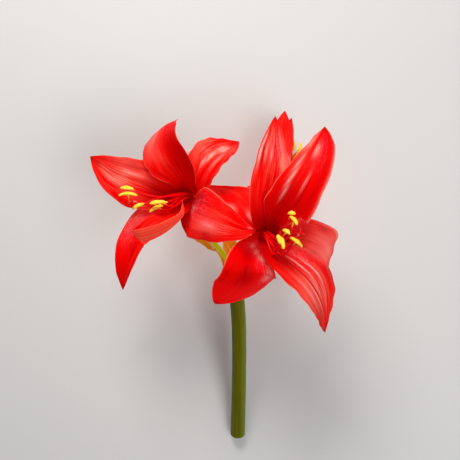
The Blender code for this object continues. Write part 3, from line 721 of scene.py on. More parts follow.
class Paint(Board):
    """A material under construction, with its colour so far and the coordinates that the pieces carry."""

    def __init__(self, name, colour):
        self.material = bpy.data.materials.new(name)
        self.material.use_nodes = True
        super().__init__(self.material.node_tree)
        self.shader = self.tree.nodes["Principled BSDF"]
        self.colour = colour

    def blade_place(self):
        """Place across from -1 to 1, share of the length, and the seed of the piece."""
        place = self.add("ShaderNodeAttribute", out=1, attribute_name="blade")
        across = self.add("ShaderNodeSeparateXYZ", {"Vector": place})
        return across, across.other("Y"), across.other("Z")

    def marks(self, *names):
        """Numbers that the piece carries at each of its points."""
        return [self.add("ShaderNodeAttribute", out=2, attribute_name=name) for name in names]

    def here(self):
        return self.add("ShaderNodeTexCoord", out=3)

    def cloud(self, scale, detail=2.0):
        """Noise all through the piece."""
        return self.noise(self.here(), scale, detail)

    def blend(self, share, first, second):
        """A colour between two, by a share."""
        return self.add("ShaderNodeMix", {0: share, 6: rgba(first), 7: rgba(second)}, out=2, data_type="RGBA")

    def over(self, share, colour):
        """Lays a colour over the colour so far, by a share."""
        self.colour = self.blend(share, self.colour, colour)

    def bump(self, height, strength, distance):
        return self.add("ShaderNodeBump", {"Height": height, "Strength": strength, "Distance": distance})

    def finish(self, roughness, bump=None, values=None):
        """Gives the shader its colour, its roughness, its bump and further values."""
        values = {"Base Color": rgba(self.colour), "Roughness": roughness, **(values or {})}
        if bump:
            values["Normal"] = self.bump(*bump)
        for name, value in values.items():
            plug(self.shader.inputs[name], value)
        return self.material


def geometry_tree(name, inputs):
    """A new tree of geometry nodes with the named inputs: its board, and what it is given."""
    tree = bpy.data.node_groups.new(name, "GeometryNodeTree")
    sockets = [("Geometry", "Geometry", "INPUT"), *((*each, "INPUT") for each in inputs),
               ("Geometry", "Geometry", "OUTPUT")]
    for key, kind, way in sockets:
        tree.interface.new_socket(key, in_out=way, socket_type="NodeSocket" + kind)
    board = Board(tree)
    return board, board.add("NodeGroupInput")


def colour_prop(name, description, default):
    return FloatVectorProperty(name=name, description=description, default=default, subtype="COLOR", size=3,
                               min=0.0, max=1.0)


def length_prop(name, description, millimetres):
    return FloatProperty(name=name, description=description, default=millimetres * MM, unit="LENGTH", min=0.0)


def count_prop(name, description, default, low, high):
    return IntProperty(name=name, description=description, default=default, min=low, max=high)


def strength_prop(name, description, default):
    return FloatProperty(name=name, description=description, default=default, min=0.0)


class PetalSettings(bpy.types.PropertyGroup):
    thickness: length_prop("Thickness", "Thickness of a petal along its midrib", 0.75)
    edge_thickness: length_prop("Edge thickness", "Thickness of a petal at its edge", 0.32)
    rows: count_prop("Rows", "Rows of faces along a petal", 110, 20, 200)
    columns: count_prop("Columns", "Columns of faces across a petal", 44, 8, 80)
    red: colour_prop("Red", "Main red of a petal", (0.88, 0.0, 0.0))
    bright: colour_prop("Bright red", "Lighter red between the veins", (1.0, 0.002, 0.001))
    # Painted orange-pink sheen laid over the paler sides of the petals
    coral_sheen: colour_prop("Coral", "Faded red of the paler petals", (1.0, 0.10, 0.06))
    # Deeper red: the throat's own colour, the veins and the darker tip, and also painted shade in the throat,
    # in the midrib groove and in the dark spots
    deep: colour_prop("Deep red", "Red of the throat", (0.26, 0.0, 0.001))
    # Painted orange-pink sheen of the spots
    blush_sheen: colour_prop("Blush", "Coral pink where a petal fades evenly", (1.0, 0.21, 0.17))
    light: colour_prop("Highlight", "Near white of the thin highlights on folds", (1.0, 0.55, 0.46))
    # Painted highlight colour of the long streaks, of the specks in the pink sheen spots and of the streaks
    # behind
    shine: colour_prop("Shine", "Pale pink of the long streaks on the paler petals", (1.0, 0.36, 0.27))
    # Painted pink sheen of the spots
    rose_sheen: colour_prop("Rose", "Rose pink of the spots that shine", (0.88, 0.035, 0.11))
    # Painted highlight along the very edge of a petal
    rim: colour_prop("Rim", "Pink of the very edge", (1.0, 0.32, 0.22))
    reverse: colour_prop("Reverse", "Salmon red of the outside of a petal", (1.0, 0.11, 0.05))
    # Painted glow: the colour that the petals give off, some everywhere, more in the throat, behind and in
    # the lit spots
    glow: colour_prop("Glow", "Light that comes through a petal", (0.16, 0.0, 0.0))


class StamenSettings(bpy.types.PropertyGroup):
    anther_radius: length_prop("Anther radius", "Radius of an anther", 1.95)
    grain: length_prop("Pollen grain", "Radius of a clump of pollen", 0.16)
    grains: count_prop("Grains", "Clumps of pollen on a bloom's anthers", 2400, 0, 20000)
    red: colour_prop("Filament red", "Red of filaments and style", (0.86, 0.001, 0.004))
    held: colour_prop("Filament tip", "Yellow of a filament just under its anther", (0.95, 0.60, 0.02))
    stigma: colour_prop("Stigma", "Pink of the style's end", (0.95, 0.42, 0.40))
    pollen: colour_prop("Pollen", "Yellow of the pollen", (1.0, 0.74, 0.012))
    husk: colour_prop("Anther", "Paler yellow of the anther under the pollen", (1.0, 0.80, 0.10))


class StalkSettings(bpy.types.PropertyGroup):
    sides: count_prop("Sides", "Faces round a stalk", 64, 12, 128)
    ridge: length_prop("Ridge", "Height of the fine ridges along the scape", 0.10)
    lobe: length_prop("Lobe", "Depth of the grooves between the ovary's three lobes", 0.9)
    green: colour_prop("Scape green", "Olive green of the scape", (0.135, 0.132, 0.001))
    pale: colour_prop("Cut green", "Pale green of the cut end", (0.55, 0.62, 0.30))
    fresh: colour_prop("Pedicel green", "Yellow-green of the pedicels", (0.50, 0.70, 0.010))


class BractSettings(bpy.types.PropertyGroup):
    thickness: length_prop("Thickness", "Thickness of a dry bract", 0.35)
    brown: colour_prop("Brown", "Orange-brown of the bracts", (0.82, 0.24, 0.004))
    gold: colour_prop("Gold", "Golden yellow between the veins", (1.0, 0.60, 0.04))
    cream: colour_prop("Cream", "Cream of the bleached patches and edges", (1.0, 0.90, 0.66))


class StageSettings(bpy.types.PropertyGroup):
    floor: colour_prop("Floor", "Colour of the floor", (0.68, 0.67, 0.65))
    key: strength_prop("Key light", "Power of the large soft light, in watts", 15.5)
    fill: strength_prop("Fill light", "Power of the light on the other side, in watts", 8.5)
    sky: strength_prop("Sky", "Strength of the light from all round", 0.20)


def settings(name):
    return getattr(bpy.context.scene, "amaryllis_" + name)


def linked(name, data):
    """A new object of the scene with its data."""
    obj = bpy.data.objects.new(name, data)
    bpy.context.scene.collection.objects.link(obj)
    return obj


def new_piece(name, points, faces, material, attributes=None):
    """A closed mesh of the flower's own points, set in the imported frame."""
    mesh = bpy.data.meshes.new(name)
    mesh.from_pydata([tuple(point) for point in laid(points)], [], faces)
    mesh.validate()
    for key, values in (attributes or {}).items():
        values = np.asarray(values, dtype=np.float32)
        kind, part = ("FLOAT_VECTOR", "vector") if values.ndim == 2 else ("FLOAT", "value")
        mesh.attributes.new(key, kind, "POINT").data.foreach_set(part, values.ravel())
    mesh.materials.append(material)
    mesh.shade_smooth()
    mesh.update()
    return linked(name, mesh)


def place(piece, slot, node):
    """Lets a finished piece ride on the body and stand for its solid."""
    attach(piece, BODY)
    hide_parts(node)


def joined(name, pieces):
    """Several pieces as one mesh."""
    with bpy.context.temp_override(active_object=pieces[0], selected_editable_objects=pieces):
        bpy.ops.object.join()
    pieces[0].name = name
    pieces[0].data.name = name
    return pieces[0]


def sheet_normals(grid):
    along = np.gradient(grid, axis=0)
    across = np.gradient(grid, axis=1)
    normals = np.cross(across, along)
    lengths = np.linalg.norm(normals, axis=2, keepdims=True)
    return normals / np.maximum(lengths, 1e-9)


def leaf_solid(grid, thickness, edge_thickness, seed):
    """Points, faces and marks of a thin closed blade: two faces from one sheet, joined round the edge."""
    rows, columns = grid.shape[:2]
    places = np.linspace(-1.0, 1.0, columns)
    shares = np.linspace(0.0, 1.0, rows)
    taper = 1 - np.abs(places) ** EDGE_TAPER
    depth = edge_thickness + (thickness - edge_thickness) * np.outer(1 - TIP_THINNING * shares, taper)
    depth[-1] = edge_thickness * TIP_EDGE
    offset = sheet_normals(grid) * (depth / 2)[:, :, None]
    points = np.concatenate([(grid + offset).reshape(-1, 3), (grid - offset).reshape(-1, 3)])
    count = rows * columns
    index = np.arange(count).reshape(rows, columns)
    a, b, c, d = index[:-1, :-1], index[:-1, 1:], index[1:, 1:], index[1:, :-1]
    top = np.stack([a, b, c, d], axis=-1).reshape(-1, 4)
    bottom = top[:, ::-1] + count
    rim = np.concatenate([index[0, :-1], index[:-1, -1], index[-1, :0:-1], index[:0:-1, 0]])
    after = np.roll(rim, -1)
    band = np.stack([after, rim, rim + count, after + count], axis=-1)
    faces = np.concatenate([top, bottom, band]).tolist()
    marks = np.broadcast_arrays(places[None, :], shares[:, None], float(seed))
    marks = np.stack(marks, axis=-1).reshape(-1, 3)
    reverse = np.concatenate([np.zeros(count), np.ones(count)])
    return points, faces, {"blade": np.concatenate([marks, marks]), "reverse": reverse}


def petal_material(options):
    """Satin red with long veins and salmon behind; its deeper throat red is partly painted shade; painted
    sheen, highlights, shade and glow lie in spots.
    """
    paint = Paint("petal_red", options.red)
    across, along, seed = paint.blade_place()
    reverse, pale = paint.marks("reverse", "pale")
    rose_sheen, blush_sheen, lit, dark, gleam = paint.marks(*SPOT_MARKS)
    broad = paint.strands(across * 2.2, along * 2.6, seed, 3.0)
    streak = paint.strands(across * 22.0, along * 1.7, seed + 3.0, 4.0, 0.65)
    vein = paint.strands(across * 60.0, along * 2.5, seed + 7.0)
    specks = paint.strands(across * 34.0, along * 30.0, seed + 5.0, 3.0, 0.7)
    cells = paint.cloud(1300.0)
    uneven = streak - 0.5
    edge = abs(across)
    outer = along.ramp(0.22, 0.60)
    paint.over(streak.ramp(0.40, 0.70) * 0.7, options.bright)
    # Painted orange-pink sheen over the paler sides, away from the throat and the tip
    painted_sheen = pale * outer * along.ramp(1.02, 0.74) * (broad + uneven * 0.9).ramp(0.43, 0.62)
    paint.over(painted_sheen * 0.85, options.coral_sheen)
    # Painted highlight streaks along the middle of the paler sides
    middle = along.ramp(0.42, 0.58) * along.ramp(0.92, 0.78) * edge.ramp(0.9, 0.5)
    paint.over(pale * middle * (streak + (broad - 0.5) * 0.8).ramp(0.54, 0.72) * 0.65, options.shine)
    # Painted pink sheen spots, with painted highlight specks in them
    spot = rose_sheen * (specks + uneven * 0.8).ramp(0.38, 0.62)
    paint.over(spot * 0.7, options.rose_sheen)
    paint.over(spot * (specks + uneven * 0.6).ramp(0.53, 0.66) * 0.75, options.shine)
    # Painted orange-pink sheen spots
    paint.over(blush_sheen * (streak * 0.5 + broad * 0.5).ramp(0.10, 0.55), options.blush_sheen)
    paint.over(vein.ramp(0.58, 0.72) * 0.22, options.deep)
    # Deeper red in random broad patches, and painted shade in the dark spots
    paint.over((broad.ramp(0.42, 0.28) * 0.5).math("MAXIMUM", dark), options.deep)
    # Painted highlights on folds; the same mask also raises the coat
    gleam = gleam * (streak * 0.6 + vein * 0.5 + specks * 0.5).ramp(0.62, 0.95)
    paint.over(gleam, options.light)
    behind = paint.blend(pale.ramp(0.0, 0.3), options.bright, options.reverse)
    behind = paint.blend((streak * 0.7 + vein * 0.3).ramp(0.54, 0.42) * 0.9, behind, options.bright)
    # Painted highlight streaks on the back of the paler petals
    pink = vein.ramp(0.50, 0.66) * streak.ramp(0.45, 0.6) * pale.ramp(-0.3, 0.3) * 0.6
    paint.over(reverse * along.ramp(0.05, 0.35) * 0.85, paint.blend(pink, behind, options.shine))
    # Deeper red towards the throat and along the midrib groove: partly the flower's own colour, partly
    # painted shade
    throat = along.ramp(0.50, 0.10) ** 1.6
    midrib = edge.ramp(0.06, 0.0) * along.ramp(0.7, 0.2) * 0.4
    paint.over((throat + midrib).math("MINIMUM", 1.0) * (1.0 - reverse * 0.6) * 0.85, options.deep)
    # Painted highlight along the edge
    paint.over(edge.ramp(0.95, 1.0) * along.ramp(0.2, 0.4) * broad.ramp(0.35, 0.6) * 0.6, options.rim)
    paint.over((along + uneven * 0.08).ramp(0.93, 0.98) * 0.55, options.deep)
    # Painted glow that the petals give off: some everywhere, more in the throat, much more behind and in the
    # lit spots
    through = throat * (1.0 - reverse) * 0.2 + reverse * 0.7 + lit + 0.22
    return paint.finish(0.40 + cells * 0.12, (vein * 0.5 + streak * 0.7 + cells * 0.35, 0.5, 0.00030), {
        "Coat Weight": streak.ramp(0.38, 0.68) * outer * (pale * 0.26 + 0.01) + gleam * 0.5,
        "Coat Roughness": 0.30, "Specular IOR Level": 0.02,
        "Emission Color": paint.blend(through, BLACK, options.glow), "Emission Strength": 1.0,
        "Subsurface Weight": 0.10, "Subsurface Radius": (1.0, 0.06, 0.04), "Subsurface Scale": 0.0012,
    })


def soft_spots(spots, across, along):
    """How strong a petal's spots are at each of its points."""
    total = np.zeros(len(across))
    for strength, middle, share, wide, long in spots:
        total = np.maximum(total, strength * bell(across, middle, wide) * bell(along, share, long))
    return total


class AMARYLLIS_OT_petals(bpy.types.Operator):
    """Makes the eighteen petals of the three blooms"""

    bl_idname = "amaryllis.petals"
    bl_label = "Petals"

    def execute(self, context):
        options = settings("petals")
        material = petal_material(options)
        thickness = options.thickness / MM
        seed = 0
        for bloom in BLOOMS:
            for number, tepal in enumerate(bloom.tepals, 1):
                seed += 1
                node = "%s_tepal_%d" % (bloom.name, number)
                look = LOOKS.get(node, Look())
                relief = Relief(seed, look.folded, look.filled)
                grid = tepal_grid(bloom, tepal, options.rows + 1, options.columns + 1, relief)
                grid = kept_up(grid, thickness / 2)
                points, faces, marks = leaf_solid(grid, thickness, options.edge_thickness / MM, seed)
                across, along = marks["blade"][:, 0], marks["blade"][:, 1]
                # The pale mark sets painted sheen and highlight streaks, and also the coat and the back's
                # salmon
                low, high = look.pale
                marks["pale"] = low + (high - low) * smooth_step(-PALE_BLEND, PALE_BLEND, across)
                # Spots of painted sheen, glow, shade and highlights
                for mark in SPOT_MARKS:
                    marks[mark] = soft_spots(getattr(look, mark), across, along)
                piece = new_piece("petal_" + node, points, faces, material, marks)
                place(piece, "tepal", node)
        return {"FINISHED"}


def ring_faces(rows, sides):
    """Faces of a tube of rows of points, with one face over each end."""
    index = np.arange(rows * sides).reshape(rows, sides)
    after = np.roll(index, -1, axis=1)
    walls = np.stack([index[:-1], after[:-1], after[1:], index[1:]], axis=-1).reshape(-1, 4).tolist()
    return walls + [index[0, ::-1].tolist(), index[-1].tolist()]


def tube_reach(bloom, bearings):
    """Outer radius of the tube's mouth at each bearing, where the outermost petal there springs."""
    reach = np.full(len(bearings), LAYER_RADIUS[0])
    for tepal in bloom.tepals:
        turn = np.abs((bearings - tepal.bearing + 180) % 360 - 180)
        spread = 60 * LAYER_SHARE[tepal.layer]
        grown = 1 - smooth_step(spread - 6, spread + 10, turn)
        reach = np.maximum(reach, LAYER_RADIUS[tepal.layer] * grown)
    return reach + TUBE_WALL


def turned_piece(name, foot, axis, rings, sides, material, marks):
    """A closed piece of rings round an axis, each with its height and its radius, or one at each side."""
    outs = np.array([radial(axis, bearing) for bearing in np.arange(sides) * 360 / sides])
    points = [foot + axis * high + outs * np.reshape(radius, (-1, 1)) for high, radius in rings]
    marks = {key: np.repeat(values, sides) for key, values in marks.items()}
    return new_piece(name, np.concatenate(points), ring_faces(len(rings), sides), material, marks)


def tube_piece(bloom, material):
    """The tube under the petals: smooth outside, hugging their feet, with the dark cup inside."""
    bearings = np.arange(TUBE_SIDES) * 360 / TUBE_SIDES
    reach = tube_reach(bloom, bearings)
    ridge = 1 + TUBE_RIDGE * np.cos(np.radians(bearings * 6))
    foot = TUBE_LENGTH + SEAT_GAP
    rings = [(-foot, TUBE_FOOT_RADIUS), (1 - foot, TUBE_FOOT_RADIUS)]
    for share in np.linspace(0.1, 1.0, OUTER_RINGS - 2):
        swell = smooth_step(0.0, 1.0, share) * 0.8 + share * 0.2
        rings.append((foot * (share - 1), (1 - swell) * TUBE_FOOT_RADIUS + swell * reach * ridge))
    rings += [(high, radius + part * reach) for high, radius, part in CUP_RINGS]
    number = np.arange(len(rings))
    marks = {"along": np.minimum(number / (OUTER_RINGS - 1), 1.0), "inside": number > OUTER_RINGS}
    axis = unit(bloom.axis)
    return turned_piece("tube_" + bloom.name, bloom.throat, axis, rings, TUBE_SIDES, material, marks)


def tube_material(petals, stalks):
    """Green at the foot, red under the petals and red inside, where it gives off a painted glow."""
    paint = Paint("flower_tube", stalks.fresh)
    along, inside = paint.marks("along", "inside")
    mottled = paint.cloud(260.0, 3.0)
    paint.over((along + (mottled - 0.5) * 0.3).ramp(0.35, 0.85), petals.red)
    paint.over(inside, petals.red)
    # Painted glow of the cup inside
    glow = paint.blend(inside * 0.4, BLACK, petals.glow)
    return paint.finish(0.42, (mottled, 0.2, 0.0003), {"Emission Color": glow, "Emission Strength": 1.0})


def filament_path(bloom, bearing, end):
    """A filament's points: up out of the cup, then sagging and rising again to its anther."""
    axis = unit(bloom.axis)
    throat = np.asarray(bloom.throat, dtype=float)
    end = np.asarray(end, dtype=float)
    foot = throat + radial(axis, bearing) * FILAMENT_RING
    mouth = foot + axis * THROAT_LENGTH
    middle = (mouth + end) / 2 + np.asarray(bloom.sag)
    return [foot - axis * CUP_DEPTH, foot, mouth, middle, end]


def anther_path(bloom, index):
    """The points of the filament that holds an anther, a few of which bend up to it from below."""
    end = bloom.anthers[index][0]
    path = filament_path(bloom, 60 * index + 30, end)
    bend = BENT_FILAMENTS.get((bloom.name, index))
    if bend:
        path.insert(-1, path[-1] + np.asarray(bend))
    return path


def stalk_tree():
    """A rod along a curve, by nodes: it takes its radius from the curve and may have ridges and lobes."""
    board, given = geometry_tree("rod_along_path", (
        ("Sides", "Int"), ("Ridges", "Int"), ("Ridge Height", "Float"), ("Lobes", "Int"),
        ("Lobe Depth", "Float"), ("Lobe Radius", "Float"), ("Seed", "Int"), ("Material", "Material")))
    radius = board.add("GeometryNodeInputRadius")
    share = board.add("GeometryNodeSplineParameter")
    curve = board.store(board.store(given, "along", share), "girth", radius)
    circle = {"Resolution": given.other("Sides"), "Radius": 1.0}
    ring = board.store(board.add("GeometryNodeCurvePrimitiveCircle", circle), "around", share)
    rod = board.add("GeometryNodeCurveToMesh",
                    {"Curve": curve, "Profile Curve": ring, "Scale": radius, "Fill Caps": True})
    around, girth, along = (board.add("GeometryNodeInputNamedAttribute", {"Name": name}, data_type="FLOAT")
                            for name in ("around", "girth", "along"))
    turn = around * (2 * math.pi)
    uneven = board.strands(around * 9.0, along * 2.0, given.other("Seed"))
    ridges = (turn * given.other("Ridges") + uneven * 5.0).math("SINE") * given.other("Ridge Height")
    swollen = (girth - given.other("Lobe Radius")).math("MAXIMUM", 0.0)
    lobes = (turn * given.other("Lobes")).math("COSINE") * given.other("Lobe Depth") * swollen
    side = board.add("GeometryNodeInputNormal")
    push = board.add("ShaderNodeVectorMath", {0: side, "Scale": ridges + lobes}, operation="SCALE")
    return board.hand_out(board.add("GeometryNodeSetPosition", {"Geometry": rod, "Offset": push}), given)


def grown_mesh(name, obj, tree, values):
    """What a tree of nodes makes of an object by its inputs' values, as a plain mesh in its stead."""
    modifier = obj.modifiers.new("Nodes", "NODES")
    modifier.node_group = tree
    for item in tree.interface.items_tree:
        if item.in_out == "INPUT" and item.name in values:
            modifier[item.identifier] = values[item.name]
    bpy.context.view_layer.update()
    mesh = bpy.data.meshes.new_from_object(obj.evaluated_get(bpy.context.evaluated_depsgraph_get()))
    mesh.name = name
    work = bmesh.new()
    work.from_mesh(mesh)
    bmesh.ops.remove_doubles(work, verts=work.verts, dist=WELD_DISTANCE * MM)
    bmesh.ops.recalc_face_normals(work, faces=work.faces)
    work.to_mesh(mesh)
    work.free()
    mesh.shade_smooth()
    piece = linked(name, mesh)
    data = obj.data
    bpy.data.objects.remove(obj)
    (bpy.data.curves if isinstance(data, bpy.types.Curve) else bpy.data.meshes).remove(data)
    return piece


def rod_piece(name, paths, tree, values):
    """One mesh of rods, each along its own points with a radius at each, in millimetres."""
    data = bpy.data.curves.new(name + "_path", "CURVE")
    data.dimensions = "3D"
    data.twist_mode = "MINIMUM"
    for points, radii in paths:
        spline = data.splines.new("POLY")
        spline.points.add(len(points) - 1)
        for spot, point, radius in zip(spline.points, laid(points), radii):
            spot.co = (*point, 1.0)
            spot.radius = radius * MM
    return grown_mesh(name, linked(name + "_path", data), tree, values)


def anther_mesh(end, lie, bend, length, radius, seed):
    """Points and faces of an anther: a slim uneven pod of two lobes, curved down at both ends."""
    lumps = random_waves(random.Random(seed), 4, 9, 3)
    lie = unit(lie)
    down = unit(np.asarray(bend) - lie * np.dot(bend, lie))
    third = np.cross(lie, down)
    points = []
    for row in range(ANTHER_ROWS):
        x = -math.cos(math.pi * row / (ANTHER_ROWS - 1))
        centre = end + lie * x * length / 2 + down * (x * x - 0.2) * length * ANTHER_CURVE
        uneven = 1 + 0.06 * sum(math.sin(pace * x + start) for pace, start in lumps)
        girth = radius * max(1 - x * x, 0.003) ** ANTHER_BLUNTNESS * uneven
        for side in range(ANTHER_SIDES):
            angle = 2 * math.pi * side / ANTHER_SIDES
            lobed = girth * (1 - ANTHER_GROOVE * abs(math.cos(angle)) ** 5)
            spoke = down * math.cos(angle) * ANTHER_FLATNESS + third * math.sin(angle)
            points.append(centre + spoke * lobed)
    return points, ring_faces(ANTHER_ROWS, ANTHER_SIDES)


def pollen_tree():
    """Clumps of pollen scattered over the anthers, by nodes."""
    board, given = geometry_tree("pollen_on_anthers", (
        ("Density", "Float"), ("Grain Radius", "Float"), ("Seed", "Int"), ("Material", "Material")))
    seed = given.other("Seed")
    spots = {"Mesh": given, "Density": given.other("Density"), "Seed": seed}
    spots = board.add("GeometryNodeDistributePointsOnFaces", spots, distribute_method="RANDOM")
    grain = board.add("GeometryNodeMeshIcoSphere", {"Radius": given.other("Grain Radius"), "Subdivisions": 1})
    size = {2: GRAIN_SIZES[0], 3: GRAIN_SIZES[1], "Seed": seed}
    size = board.add("FunctionNodeRandomValue", size, out=1, data_type="FLOAT")
    turn = {0: (0.0, 0.0, 0.0), 1: (ANY_PHASE, ANY_PHASE, ANY_PHASE), "Seed": seed}
    turn = board.add("FunctionNodeRandomValue", turn, data_type="FLOAT_VECTOR")
    grains = {"Points": spots, "Instance": grain, "Rotation": turn, "Scale": size}
    return board.hand_out(board.add("GeometryNodeInstanceOnPoints", grains), given)


def pollen_material(options):
    """Powdery yellow, with random orange patches of painted shade and pale cream patches of painted
    highlight.
    """
    paint = Paint("pollen", options.pollen)
    patches = paint.cloud(420.0, 3.0)
    fine = paint.cloud(2600.0, 1.0)
    # Orange patches of painted shade, then cream patches of painted highlight
    paint.over(patches.ramp(0.46, 0.62) * 0.8, (0.90, 0.38, 0.006))
    paint.over(patches.ramp(0.44, 0.30) * 0.8, (1.0, 0.90, 0.42))
    return paint.finish(0.85, (fine, 0.6, 0.0001))


def anther_material(options):
    """Pale yellow pod with pollen caught in its grooves."""
    paint = Paint("anther", options.husk)
    patches = paint.cloud(500.0, 4.0)
    fine = paint.cloud(2200.0)
    paint.over(patches.ramp(0.38, 0.6), options.pollen)
    return paint.finish(0.7, (fine + patches, 0.7, 0.0002))


def filament_material(name, options, end_colour, start, full):
    """Glossy red, darker at the foot, with another colour towards the end."""
    paint = Paint(name, options.red)
    along, = paint.marks("along")
    uneven = paint.cloud(300.0)
    paint.over(along.ramp(0.25, 0.0), (0.55, 0.0, 0.004))
    paint.over((along + (uneven - 0.5) * 0.06).ramp(start, full), end_colour)
    # The faint red emission of the filaments and style is a painted glow
    return paint.finish(0.3 + uneven * 0.12, (uneven, 0.15, 0.0002), {
        "Subsurface Weight": 0.15, "Subsurface Radius": (1.0, 0.2, 0.15), "Subsurface Scale": 0.001,
        "Specular IOR Level": 0.2, "Emission Color": (0.05, 0.0, 0.0, 1.0), "Emission Strength": 1.0,
    })


def stigma_paths(path):
    """The three short lobes that the style splits into."""
    ahead = unit(path[-1] - path[-2])
    for index in range(3):
        out = radial(ahead, 120 * index + 90)
        lobe = unit(ahead + out * 0.9)
        bend = path[-1] + lobe * STIGMA_REACH
        line = [path[-1] - ahead * STYLE_RADIUS, bend, bend + unit(lobe + out * 0.8) * STIGMA_HOOK]
        yield smooth_path(line, len(STIGMA_RADII))[0], STIGMA_RADII


class AMARYLLIS_OT_stamens(bpy.types.Operator):
    """Makes each bloom's tube, filaments, style and anthers with their pollen"""

    bl_idname = "amaryllis.stamens"
    bl_label = "Stamens"

    def execute(self, context):
        options = settings("stamens")
        red = filament_material("filament_red", options, options.held, 0.90, 0.96)
        pink = filament_material("style_pink", options, options.stigma, 0.93, 1.0)
        husk = anther_material(options)
        pollen = pollen_material(options)
        tube_paint = tube_material(settings("petals"), settings("stalks"))
        rods = stalk_tree()
        dust = pollen_tree()
        for number, bloom in enumerate(BLOOMS):
            pieces = [tube_piece(bloom, tube_paint), *self.rods(bloom, rods, red, pink)]
            pieces.append(self.anthers(bloom, options, husk))
            pieces.append(self.pollen(bloom, pieces[-1], options, dust, pollen, number))
            for piece in pieces:
                place(piece, "stamens", "stamens_" + bloom.name)
        return {"FINISHED"}

    def rods(self, bloom, tree, red, pink):
        """The filaments as one piece, and the style with its stigma."""
        paths = []
        for index in range(len(bloom.anthers)):
            points, _ = smooth_path(anther_path(bloom, index), FILAMENT_ROWS)
            paths.append((points, np.linspace(*FILAMENT_RADII, FILAMENT_ROWS)))
        values = {"Sides": FILAMENT_SIDES, "Ridges": 3, "Ridge Height": 0.03 * MM, "Seed": 1, "Material": red}
        yield rod_piece("filaments_" + bloom.name, paths, tree, values)
        style = filament_path(bloom, 0, bloom.style_end)
        style[:3] = [point - radial(bloom.axis, 0) * FILAMENT_RING for point in style[:3]]
        points, _ = smooth_path(style, STYLE_ROWS)
        radii = np.linspace(STYLE_RADIUS, STYLE_RADIUS * STYLE_TAPER, STYLE_ROWS)
        paths = [(points, radii), *stigma_paths(points)]
        yield rod_piece("style_" + bloom.name, paths, tree, {**values, "Material": pink})

    def anthers(self, bloom, options, material):
        pods = []
        for index, (end, lie, length) in enumerate(bloom.anthers):
            bend = anther_path(bloom, index)[-2] - np.asarray(end)
            points, faces = anther_mesh(end, lie, bend, length, options.anther_radius / MM, index)
            pods.append(new_piece("anther_%d" % index, points, faces, material))
        return joined("anthers_" + bloom.name, pods)

    def pollen(self, bloom, anthers, options, tree, material, seed):
        area = sum(face.area for face in anthers.data.polygons)
        values = {"Density": options.grains / area, "Grain Radius": options.grain, "Seed": seed,
                  "Material": material}
        return grown_mesh("pollen_" + bloom.name, linked("dusted", anthers.data.copy()), tree, values)


def stalk_direction():
    path, _ = smooth_path(STALK_LINE, 9)
    return unit(path[0] - path[1])


def pedicel_rod(bloom, count):
    """Points and radii of a flower's own stalk, up to the top of its ovary."""
    axis = unit(bloom.axis)
    up = stalk_direction()
    foot = np.asarray(UMBEL) + up * PEDICEL_SEAT + radial(up, bloom.foot_bearing) * PEDICEL_SPREAD
    top = np.asarray(bloom.throat) - axis * TUBE_LENGTH
    neck = top - axis * OVARY_LENGTH
    start = [foot, foot + up * PEDICEL_RISE / 2, foot + up * PEDICEL_RISE]
    end = [neck, (neck + top) / 2, top + (neck - top) / 5, top]
    path, length = smooth_path(start + bloom.pedicel + end, count)
    back = (1 - np.linspace(0.0, 1.0, count)) * length / OVARY_LENGTH
    swell = np.sin(np.pi * (OVARY_TOP_SWELL + (1 - OVARY_TOP_SWELL) * np.minimum(back, 1.0)))
    radii = PEDICEL_RADIUS + (OVARY_RADIUS - PEDICEL_RADIUS) * np.maximum(swell, 0.0) ** OVARY_FULLNESS
    radii[0] *= PEDICEL_FLARE
    return path, radii


def stalk_material(name, main, second, streaks, glow=0.0, bleached=None):
    """Smooth waxy green with faint streaks along it, painted light on one side where that is asked for, and a
    painted glow of its own green by the strength asked for.
    """
    paint = Paint(name, main)
    along, around = paint.marks("along", "around")
    streak = paint.strands(around * streaks, along * 3.0, 2.0, 3.0)
    fine = paint.cloud(900.0)
    paint.over(streak.ramp(0.35, 0.7), second)
    paint.over(paint.cloud(45.0, 3.0).ramp(0.55, 0.8) * 0.35, tinted(second, 1.7))
    # Painted light: lighter on the side beyond the given X
    if bleached is not None:
        side = paint.add("ShaderNodeSeparateXYZ", {"Vector": paint.here()}) + (streak - 0.5) * 0.002
        pale = (1.4 * main[0], 1.9 * main[1], main[2] + 0.02)
        paint.over(side.ramp(bleached + 0.001, bleached + 0.006) * 0.7, pale)
    # The emission of the stalk's own green is a painted glow
    return paint.finish(0.34 + fine * 0.14, (streak * 0.8 + fine * 0.15, 0.25, 0.0003), {
        "Subsurface Weight": 0.08, "Subsurface Radius": (0.4, 1.0, 0.1), "Subsurface Scale": 0.002,
        "Specular IOR Level": 0.1, "Emission Color": rgba(main), "Emission Strength": glow,
    })


class AMARYLLIS_OT_pedicels(bpy.types.Operator):
    """Makes the three flower stalks with their lobed ovaries"""

    bl_idname = "amaryllis.pedicels"
    bl_label = "Pedicels"

    def execute(self, context):
        options = settings("stalks")
        fresh = tuple(options.fresh)
        # The pedicels give off a painted glow of their own green
        material = stalk_material("pedicel_green", fresh, tinted(fresh, 0.75), 14.0, 0.28)
        tree = stalk_tree()
        for number, bloom in enumerate(BLOOMS):
            path, radii = pedicel_rod(bloom, PEDICEL_ROWS)
            values = {"Sides": options.sides, "Ridges": 9, "Ridge Height": options.ridge / 2, "Lobes": 3,
                      "Lobe Depth": options.lobe / ((OVARY_RADIUS - PEDICEL_RADIUS) * MM) / 2,
                      "Lobe Radius": PEDICEL_RADIUS * MM, "Seed": number, "Material": material}
            piece = rod_piece("flower_stalk_" + bloom.name, [(path, radii)], tree, values)
            place(piece, "pedicel", "pedicel_" + bloom.name)
        return {"FINISHED"}


